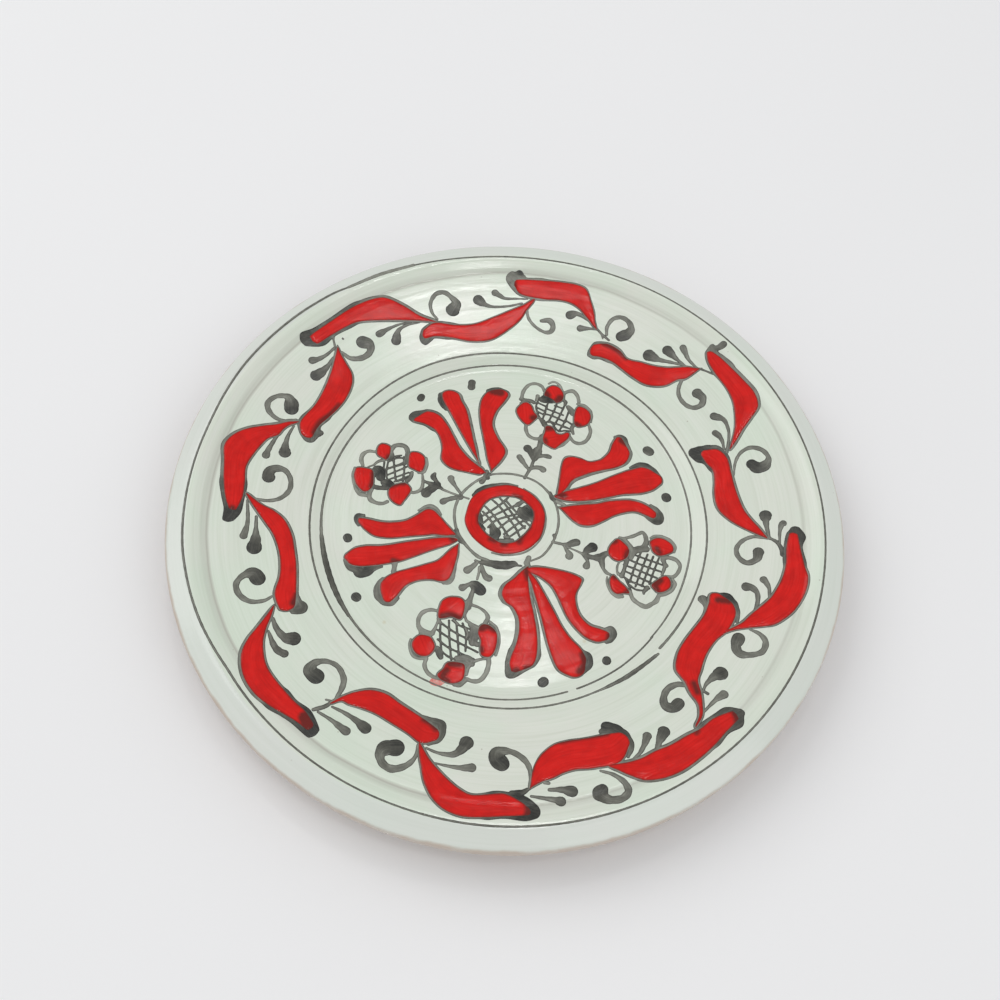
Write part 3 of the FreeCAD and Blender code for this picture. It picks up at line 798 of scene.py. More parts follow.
LEAVES = [
    {"red": [(-79, 62.5, -75.5, 59.7), (-73.5, 69, -70.3, 65.2), (-65, 78, -63.5, 71),
             (-56, 83.2, -56, 73.4), (-48, 81.7, -48, 75), (-41, 78.5, -41.5, 76),
             (-35, 77.2, -35.3, 76.6)], "cap": [(-82.3, 62.6, -79.3, 57.6), (-78.7, 65.4, -73.6, 59.2)],
     "ink": 0.85, "margins": (0.9, 0.6),
     "strokes": [([(-70.5, 66, 0.4), (-70.8, 63, 0.4), (-70, 60.5, 0.4), (-69.3, 58, 0.4)], 0.5),
                 ([(-67.5, 63.6, 0.35), (-67.3, 63.4, 0.35)], 0.6)]},
    {"red": [(-38.3, 73.3, -37.3, 69.3), (-34.5, 76.5, -34, 70.8), (-27, 76.8, -28, 71.3),
             (-20, 78.2, -20.5, 71), (-13, 82, -13, 72.7), (-7.5, 85.3, -7, 77.5), (-3.5, 87.7, -3, 82),
             (-1.5, 89, -1, 86), (0.8, 91, 1.4, 90)],
     "cap": [(-39.9, 70.6, -36.6, 67), (-38.9, 73.8, -34.6, 69.3)], "ink": 0.7, "margins": (0.35, 0.4)},
    {"red": [(-5.5, 98.6, -6.3, 95.2), (-2, 99, -3.5, 92.4), (5, 99.3, 5, 91.4), (11, 99.3, 11, 91.6),
             (17, 98.8, 15.5, 90.8), (21, 97, 19, 88.7), (23, 92.5, 21, 86.5), (24.7, 87.5, 22.8, 84.5),
             (25.3, 84, 24.5, 82.3), (26, 81.8, 25.6, 81.2)],
     "cap": [(-7.5, 101.8, -9.6, 96.8), (-3, 100.8, -6.8, 93.6)], "ink": 0.5, "margins": (0.5, 0.4),
     "strokes": [([(-6.6, 101, 0.7), (-5.2, 101.2, 1), (-4.3, 101, 0.8)], 0.95),
                 ([(-8.2, 99.8, 0.6), (-8.4, 98, 0.7), (-7.8, 96, 0.5)], 0.9)],
     "shade": [[(-7, 96.8, 0.9), (-6.5, 95.5, 0.6)]]},
    {"red": [(26, 74.8, 25.3, 70), (30.5, 75.3, 28.5, 69.6), (35.2, 73, 32.5, 68.2),
             (38.5, 69.6, 36, 65.8), (43.5, 68.5, 40.5, 62.4), (48.5, 67.2, 46, 59.4),
             (53, 66.7, 52.5, 59.2), (57, 66.9, 57.2, 61.7), (60.5, 67.2, 60.5, 62.5),
             (64.8, 66.7, 65, 66.3)], "cap": [(24.3, 73.2, 24.2, 69.4), (26, 75.9, 26, 68.6)], "ink": 0.6,
     "margins": (0.4, 0.5), "shade": [[(29, 75, 0.5), (34, 73, 0.7), (38, 69.5, 0.4)]]},
    {"red": [(69.6, 73.6, 67.2, 72.8), (72.5, 71.4, 68, 69), (76.5, 67.3, 71, 64), (81, 62.3, 74.5, 59.2),
             (85, 57, 77, 54), (86.2, 51.5, 77.9, 49.5), (83.6, 46.3, 78.2, 45), (81, 42, 78, 41.5),
             (79, 38, 77.3, 38), (77.2, 34.7, 76.6, 34.9)],
     "cap": [(69.9, 76.2, 68, 75.9), (71.8, 73.2, 66.7, 73)], "ink": 0.55, "margins": (0.8, 0.25),
     "strokes": [([(70.3, 74.8, 1), (71.6, 75.1, 1), (73, 76, 1.2)], 0.65)]},
    {"red": [(68.3, 33.9, 66.8, 31.4), (72.5, 34.1, 68.5, 28.6), (75.8, 30.8, 70.8, 25.8),
             (77.3, 25, 71.5, 21.5), (78.6, 19.5, 71.5, 17), (80.3, 14, 72.2, 12.4), (82, 10, 74, 9),
             (84.3, 6.6, 78, 5.3), (86.7, 3.6, 83, 2.4), (88.8, 0.6, 88.3, -0.2)],
     "cap": [(63.6, 34.6, 63, 31), (66.5, 35.2, 65.3, 28.9)], "ink": 0.95, "margins": (0.6, 0.5),
     "strokes": [([(66, 34.2, 1), (69.5, 34.9, 0.9), (72.8, 34.9, 0.6), (74.5, 33.3, 0.3)],
                  (0.95, 0.6))]},
    {"red": [(99.4, 0.8, 96.3, 1.2), (100, -4, 95.3, -4), (101.1, -10, 95, -10),
             (102, -15.5, 93.7, -15.3), (100.6, -21.5, 91.8, -19.5), (97, -27.7, 89.8, -22.8),
             (91.5, -32.4, 86.3, -26.4), (87, -33.6, 83.3, -29.3), (82.5, -34.3, 80.5, -32.3),
             (78, -35.3, 77.2, -34.4), (74.5, -36.7, 74.2, -35.9)],
     "cap": [(100.3, 3.4, 96.6, 3.2), (102, 0.3, 95.3, 0.5)], "ink": 0.9, "margins": (0.4, 0.5)},
    {"red": [(74, -22.3, 70.2, -23), (77.8, -25.5, 69.8, -26), (78.6, -29.8, 68.2, -30.3),
             (76, -35.5, 65, -35.3), (72, -39.6, 62, -40), (69, -44.8, 59.8, -45),
             (67.3, -50.5, 59.3, -50.5), (66.4, -54, 62, -54.6), (67.3, -58, 63.8, -58.6),
             (67.7, -62, 66.2, -62.3), (67.6, -66, 66.4, -66.2), (66, -69.3, 65.3, -69.2)],
     "margins": (0.5, 0.6),
     "strokes": [([(72.8, -23.3, 1), (75.3, -23.2, 1.6), (78, -25.6, 1.2), (79.3, -29, 0.7),
                   (79, -32.3, 0.5)], 0.95),
                 ([(68, -24.2, 1.4), (68.8, -26.5, 0.6), (68.6, -29.5, 0.4)], 0.6)],
     "shade": [[(73, -24.3, 0.9), (76.5, -24.7, 0.8)], [(65, -55, 0.8), (66, -58, 0.8)]]},
    {"red": [(76.2, -63.9, 78.2, -67), (70.8, -66.6, 74.5, -71.3), (66.8, -70.3, 71, -75.8),
             (62.5, -73, 66.5, -80.5), (57.5, -76.5, 61.3, -84.9), (53, -78.8, 56, -87.6),
             (49, -81.4, 50.5, -88.7), (45, -83.1, 45.5, -87.6), (41.5, -84, 41.8, -86.2),
             (39.5, -84.6, 39.5, -85.4)], "cap": [(78.8, -62.7, 80.2, -65.6), (74.3, -62.6, 79.4, -69.3)],
     "ink": 0.8, "margins": (0.7, 0.6),
     "shade": [[(77.5, -63.7, 1.3), (78.6, -65.9, 1.4), (77.9, -67, 0.7)],
               [(66, -71.3, 0.5), (65.5, -72, 0.5)]]},
    {"red": [(41, -73.7, 45, -78), (36.5, -74.9, 42.3, -83.5), (31, -76.6, 34.5, -86.2),
             (26, -77.8, 29, -87.2), (21.8, -79.6, 25.3, -88.7), (18.5, -82.8, 22.3, -90.6),
             (16.6, -86.3, 19.3, -91.9), (15.7, -90, 17.3, -93.2), (15.5, -93.3, 15.9, -94.3)],
     "margins": (0.25, 0.35),
     "strokes": [([(37.8, -72, 1.5), (40.5, -72.5, 1.5), (43.8, -74.6, 1.3), (45.8, -78, 0.8),
                   (44.8, -81.5, 0.5)], 0.9),
                 ([(36.5, -73.8, 0.9), (40, -73.8, 1.3), (43, -75.5, 1.1)], 0.8)],
     "shade": [[(38, -74.5, 0.6), (31, -76.3, 0.6), (24, -78.5, 0.5)]]},
    {"red": [(15.3, -100.4, 15.6, -103.2), (13, -98.9, 13.6, -103.6), (8, -97, 8, -104.4),
             (3, -97.7, 2.5, -105.3), (-2, -98.4, -4, -105.8), (-6, -96.8, -9.5, -104.2),
             (-9.7, -94.2, -13.5, -101), (-13, -91.4, -16.6, -96.3), (-15.8, -88.6, -18.3, -91),
             (-17.6, -86.2, -19.3, -87.5), (-19, -84.2, -19.8, -84.5)],
     "cap": [(17.7, -99.2, 17.6, -104.3), (14, -97, 14.3, -105.3)], "ink": 0.95, "margins": (0.4, 0.4),
     "strokes": [([(15, -94.8, 0.5), (13, -96.2, 0.9), (10, -96.5, 0.7)], 0.9)],
     "shade": [[(15.6, -99.8, 1.2), (16, -102, 1.4), (15, -104.2, 1)]]},
    {"red": [(-15, -78.2, -15.2, -82.6), (-18, -76.3, -19.2, -83.8), (-22.5, -73.8, -24, -81),
             (-27.5, -71.2, -29.5, -78.3), (-32, -68.7, -34.5, -76), (-37, -68, -39, -74.8),
             (-41.5, -69.3, -43, -74.1), (-45, -71.2, -45.5, -73.3), (-48.3, -73.8, -48.2, -74.6)],
     "margins": (0.7, 0.35),
     "strokes": [([(-19.5, -75, 0.6), (-16.5, -75.8, 0.9), (-13.8, -76.6, 1.2), (-13, -79, 1),
                   (-13.8, -82, 0.8), (-16.8, -83.9, 0.5)], 0.75),
                 ([(-15.6, -77.8, 1), (-14.6, -80.5, 0.9)], 0.7),
                 ([(-48.5, -74.2, 0.5), (-50.5, -76, 0.7), (-53.5, -77.4, 0.6)], 0.6),
                 ([(-50.3, -73.5, 0.35), (-49, -73.6, 0.35)], 0.4)],
     "shade": [[(-19.5, -76, 0.5), (-17, -76.8, 0.9), (-15.2, -78.3, 0.9)]]},
    {"red": [(-52.6, -81.9, -54.3, -84.3), (-55.7, -78.3, -57.8, -82.2), (-59.5, -75.6, -62.3, -80.2),
             (-63.5, -72.2, -67.5, -78), (-67.5, -68.5, -72.5, -74.8), (-70.5, -64.8, -76.8, -69.5),
             (-72.2, -60.8, -79, -63), (-73.2, -56.5, -78.3, -57.3), (-73.2, -52, -76.2, -52.3),
             (-72.6, -48, -74.4, -48), (-72.4, -44.3, -73.1, -44.5)],
     "cap": [(-50.6, -83, -54, -86.5), (-54.3, -77.6, -59, -83)], "ink": 0.95, "margins": (0.4, 0.7),
     "shade": [[(-55.5, -80.3, 1.8), (-53.3, -83.3, 2)]]},
    {"red": [(-66, -42.3, -70.8, -44.4), (-66.4, -38.5, -73.3, -39.5), (-67.3, -33, -73, -33),
             (-68.4, -27.5, -73.7, -28), (-70, -22, -75.3, -23), (-72, -16.5, -78, -18),
             (-75.3, -11.6, -81.3, -14.2), (-79.5, -8.8, -84.3, -11), (-84, -7.3, -87, -8),
             (-88.6, -4.6, -89.2, -5.3)], "margins": (0.6, 0.5),
     "strokes": [([(-66.8, -37, 0.5), (-65.3, -40.5, 0.9), (-63.8, -43, 1.7), (-66.3, -44.8, 0.8)],
                  0.75)], "shade": [[(-66.6, -38.5, 0.4), (-66.7, -41.8, 0.9)]]},
    {"red": [(-94.3, -10.8, -91.3, -11), (-96.3, -6.5, -90.4, -6), (-98, -0.5, -90.8, 0),
             (-99.3, 6.5, -91.5, 5.5), (-100.4, 12.5, -90.2, 10.5), (-98, 17.3, -88, 15.5),
             (-93.5, 20.8, -86.3, 18.2), (-88.5, 23, -83.3, 20.3), (-84.5, 24.5, -82, 22.8),
             (-81, 26.3, -80.3, 24.8), (-78, 27.2, -77.7, 26.6)],
     "cap": [(-95.3, -15.5, -91, -15), (-95.7, -11.5, -89.6, -11.5)], "ink": 0.95, "margins": (0.9, 0.4),
     "shade": [[(-92.6, -12, 0.8), (-92.8, -11, 0.8)]]},
    {"red": [(-76.3, 23.6, -71.8, 22.2), (-77, 27, -70.2, 27), (-75.3, 31, -67.5, 31),
             (-73, 35.2, -64.8, 35.2), (-71.3, 40.5, -62.6, 40), (-70.2, 45.5, -61.4, 45.5),
             (-69.5, 50, -62, 50), (-69.2, 54, -65, 54.3), (-69, 57, -67, 57),
             (-68.9, 59.4, -68.4, 59.5)], "cap": [(-75.3, 21.3, -70.5, 21), (-77, 24.3, -69, 24.3)],
     "ink": 0.7, "margins": (0.5, 0.45), "strokes": [([(-69.8, 24, 1.1), (-69.3, 24.4, 1.0)], 0.7)],
     "shade": [[(-71.5, 24, 0.9), (-70.2, 28.5, 0.8), (-67.3, 32.5, 0.5), (-64.8, 37, 0.4)]]},
]

# ---------------------------------------------------------------- the scrolls and drops between them

SPRIGS = [
    [([(-34, 78, 0.4), (-36.3, 80.3, 0.55), (-37.4, 84, 0.65), (-36, 88, 0.8), (-32.8, 89.3, 0.85),
       (-29.7, 87.6, 0.9), (-27.8, 85.5, 1.5), (-28.7, 82.8, 2.3)], (0.5, 0.95)),
     ([(-40.5, 75.5, 0.3), (-45, 73.6, 0.5), (-47.8, 70.8, 0.8), (-48.1, 66.6, 1.7)], 0.8),
     ([(-43.5, 75.2, 0.3), (-48, 73.3, 0.45), (-52, 70.5, 0.75), (-54.6, 68.1, 1.3)], 0.7)],
    [([(-1, 86.8, 0.5), (0.2, 83, 0.55), (3, 80, 0.55), (6.5, 78.2, 0.6), (9, 78.6, 0.85), (9.6, 81, 0.9),
       (8, 83, 1), (5, 82.6, 0.6)], (0.4, 0.6)),
     ([(-3, 88.9, 0.4), (-8, 87.2, 0.45), (-13.5, 86.2, 0.55), (-17, 86.7, 0.9), (-19.6, 88.2, 1.9)],
      0.9),
     ([(-1, 90.9, 0.3), (-5, 90.6, 0.4), (-9.5, 90.2, 0.6), (-12, 91.2, 0.9), (-13.6, 92, 1.2)], 0.65)],
    [([(30, 79, 0.5), (30, 82.3, 0.65), (32, 85.6, 0.75), (35.2, 86.4, 0.8), (38, 84.6, 0.9),
       (39, 81.8, 1.2), (37.6, 79.7, 1.8), (35.5, 78.6, 1.9)], (0.5, 0.9)),
     ([(24.5, 83, 0.4), (21, 85.5, 0.6), (18, 86.8, 0.9), (15.7, 86, 1.6)], 0.8),
     ([(26, 81, 0.5), (23, 81, 0.6), (20, 80.9, 1.2)], 0.6),
     ([(25.5, 82, 0.45), (28, 79.3, 0.45), (31, 76.8, 0.45)], 0.6),
     ([(27.8, 79.5, 0.3), (28.7, 77.3, 0.3)], 0.35)],
    [([(59, 62.3, 0.6), (57.8, 58.5, 0.65), (58.2, 55, 0.7), (60.5, 51.9, 0.75), (63.5, 50.7, 0.8),
       (66.2, 51.9, 1), (66.6, 54.6, 1.2), (64.6, 56.5, 1.7)], (0.5, 0.85)),
     ([(59, 67.8, 0.4), (54.5, 68.9, 0.6), (50, 69.8, 0.9), (46.4, 71.4, 2.1)], 0.9),
     ([(60, 67.3, 0.4), (57, 69.8, 0.6), (54.7, 72, 1.2), (53, 73.7, 1.8)], 0.9),
     ([(64, 66.8, 0.4), (61, 70, 0.6), (59.5, 73, 0.9), (58.6, 75, 1.2)], 0.6),
     ([(64, 66.8, 0.4), (66.5, 66, 0.4), (70, 64.5, 0.4)], 0.6)],
    [([(78.2, 24, 0.3), (78.6, 29, 0.5), (80.5, 33, 0.6), (84, 35, 0.75), (87.8, 34, 0.8),
       (89.9, 31, 0.8), (88.8, 28, 1.6), (86.3, 27, 1.9), (84.2, 28.4, 1.7)], (0.5, 0.95)),
     ([(75.6, 33, 0.6), (76.2, 38, 0.5), (76, 42, 0.55), (74.3, 46, 0.8), (70.8, 47.4, 1.4)], 0.75),
     ([(74.6, 34.3, 0.4), (74, 37.3, 0.6), (72.8, 39.5, 0.9), (71.4, 40.7, 1.1)], 0.7)],
    [([(88.5, -0.4, 0.4), (84.5, 0, 0.6), (81, -1.7, 0.7), (79.1, -4.8, 0.75), (79.9, -8, 0.8),
       (82.6, -10, 0.9), (85.6, -8.6, 1.1), (86.3, -5.9, 1.7)], (0.5, 0.9)),
     ([(90, -0.5, 0.5), (89.3, 3, 0.7), (88.9, 6, 1), (88.8, 8.2, 1.8)], 0.9),
     ([(93.3, -2, 0.4), (93.4, 2, 0.55), (94, 4.8, 0.9), (94.6, 5.4, 1.1)], 0.6),
     ([(90.3, -0.5, 0.5), (92.3, -1.8, 0.6), (93.7, -4, 0.7), (94.2, -6.5, 0.8)], (0.6, 0.9))],
    [([(83, -34.7, 0.4), (86.2, -36.4, 0.7), (87.8, -39.2, 0.9), (86.6, -42.6, 0.9), (83, -43.9, 0.9),
       (79.6, -43.6, 1.3), (78.4, -41, 1.4), (79.3, -38.2, 1.9)], (0.5, 0.9)),
     ([(84.7, -28, 0.5), (85.7, -24.5, 0.7), (85.6, -21.2, 0.8), (83.9, -19.3, 1.1), (82.2, -19, 1.4)],
      0.75), ([(89.5, -22.5, 0.5), (89.5, -19.5, 0.6), (88.6, -17.3, 0.9), (87.8, -16.2, 1.1)], 0.6)],
    [([(62.5, -56, 0.6), (60, -55.6, 0.9), (57, -57.3, 1), (55.6, -60.3, 1), (56, -63.2, 1.3),
       (58.5, -64, 1.5), (60.2, -62.3, 1.7)], (0.6, 0.85)),
     ([(67.8, -57.5, 0.4), (69, -54.8, 0.6), (71.3, -52.3, 1.2), (73.4, -51, 2)], 0.95),
     ([(67.5, -65.3, 0.4), (69.5, -62.8, 0.5), (72, -60, 0.8), (74.2, -58.3, 1.35)], 0.6),
     ([(68, -57.5, 0.5), (69.3, -58.3, 0.5)], 0.6)],
    [([(36.5, -86.8, 0.4), (40.5, -87.7, 0.6), (44, -90, 0.9), (45, -92.8, 1), (43, -95.3, 1.1),
       (39.3, -95.9, 1.3), (36.7, -94.3, 2), (37.3, -92.7, 1.6)], (0.5, 0.9)),
     ([(46, -82.4, 0.3), (48.3, -80, 0.6), (49.7, -77, 0.8), (50.5, -74.2, 1.3)], 0.65),
     ([(50, -81, 0.5), (53.3, -78.5, 0.7), (54.3, -75.5, 1), (55.6, -72.4, 1.75)], 0.9)],
    [([(15.3, -94.3, 0.5), (15.4, -90.5, 0.6), (14.3, -87, 0.8), (11.8, -84.6, 0.9), (8.5, -83.3, 0.9),
       (5, -83.8, 1.6), (4.6, -86, 2.3), (6.3, -87.6, 2.1)], (0.5, 0.95)),
     ([(21.3, -94.4, 0.5), (25, -94, 0.9), (28.2, -94.2, 1.6)], 0.85),
     ([(16, -97, 0.4), (20, -97.2, 0.6), (23.5, -97.4, 0.9), (25, -97.7, 1.35)], 0.7),
     ([(19.7, -92.3, 0.5), (21, -92.3, 0.5)], 0.4)],
    [([(-20, -84.5, 0.4), (-20.2, -88.3, 0.6), (-22.5, -91.5, 0.9), (-26.5, -93.2, 1.1),
       (-29.8, -91.8, 1.1), (-31, -88.8, 1.4), (-29.6, -86.8, 2.1), (-26.6, -86.3, 2.3)], (0.5, 0.95)),
     ([(-17.3, -85.2, 0.4), (-13.5, -86.3, 0.5), (-9, -86.3, 0.9), (-6.5, -84.3, 1.3), (-5.2, -82, 1.9)],
      0.9), ([(-14.5, -89.7, 0.3), (-10, -90.2, 0.5), (-6, -90.3, 0.8), (-2.8, -89.9, 1.3)], 0.6)],
    [([(-47.6, -73, 0.4), (-46.3, -69.5, 0.8), (-46.2, -65.5, 0.9), (-48.8, -61.6, 0.8),
       (-52.7, -60.4, 0.8), (-56.2, -61.7, 1.2), (-57, -64.6, 1.9), (-54.8, -66.1, 2.2)], (0.5, 0.95)),
     ([(-52, -77.9, 0.4), (-47.5, -80, 0.6), (-44.5, -81.8, 1), (-42.4, -83, 1.25)], 0.65),
     ([(-48, -75.6, 0.4), (-44, -77, 0.6), (-40, -79, 0.9), (-36.7, -81.2, 1.7)], 0.85)],
    [([(-73.6, -40.3, 0.4), (-76, -42.6, 0.6), (-80.2, -43.7, 0.8), (-84, -42, 0.9), (-85.8, -38.5, 0.9),
       (-84.3, -35, 1), (-81.3, -33.4, 1.9), (-79.6, -35, 2.2)], (0.5, 0.95)),
     ([(-72, -48.5, 0.6), (-70, -51.8, 0.9), (-67, -54.3, 1.3), (-64.3, -54.3, 2.2)], 0.95),
     ([(-72.5, -53, 0.4), (-70, -57.3, 0.9), (-68, -59.3, 1.1), (-66, -60, 1.2)], 0.7)],
    [([(-86, -5.9, 0.5), (-82, -5.6, 0.6), (-78.3, -3.8, 0.7), (-75.9, 0, 0.8), (-76.3, 4.3, 0.8),
       (-78.7, 7.2, 0.9), (-82, 7.2, 1.3), (-83.9, 5.2, 1.6), (-83.6, 3.5, 1.9)], (0.5, 0.9)),
     ([(-88.7, -7, 0.4), (-87.5, -12, 0.6), (-86.9, -16, 0.7), (-87.2, -20.4, 1.2)], 0.65),
     ([(-84.6, -12.5, 0.5), (-83.8, -17, 0.7), (-83.2, -20.5, 1.4), (-83, -24, 2.1)], 0.95)],
    [([(-78.5, 27.6, 0.5), (-81.5, 26.3, 0.6), (-85.5, 26.8, 0.7), (-88.5, 29.4, 0.9), (-89, 32.5, 0.9),
       (-86.6, 35.3, 0.8), (-83, 36, 1.1), (-81.3, 34, 2), (-80.8, 31.7, 2.3)], (0.5, 0.95)),
     ([(-83.3, 21, 0.5), (-84.7, 17, 0.7), (-85.7, 13.5, 0.9), (-86, 11.6, 1.2)], 0.65),
     ([(-78.8, 25, 0.4), (-80, 21, 0.6), (-80.3, 17, 1), (-80, 14.2, 1.8)], 0.85)],
    [([(-67, 58, 0.5), (-63.5, 56.2, 0.8), (-59.5, 57.2, 1), (-57, 60, 1.1), (-57.4, 63.2, 1.5),
       (-60, 63.6, 2.3)], (0.5, 0.95)),
     ([(-69.9, 59, 0.5), (-72.3, 55.6, 0.6), (-74.8, 53.4, 0.9), (-76.8, 52.4, 1.25)], 0.7),
     ([(-69.7, 55, 0.5), (-71, 51.5, 0.8), (-73, 48.3, 1.5), (-74.5, 46.7, 1.9)], 0.9)],
]


def border():
    """The sixteen leaves with their outlines, and the sixteen scrolls between them."""
    for k, leaf in enumerate(LEAVES, 1):
        brushed_leaf(f"leaf_{k:02d}", leaf, [f"border_leaf_{k:02d}"], ["leaf_outlines"])
    for k, strokes in enumerate(SPRIGS, 1):
        ink_piece(f"sprig_{k:02d}_ink", strokes, [f"border_sprig_{k:02d}"])


border()


# ---------------------------------------------------------------- the four tulips in the well

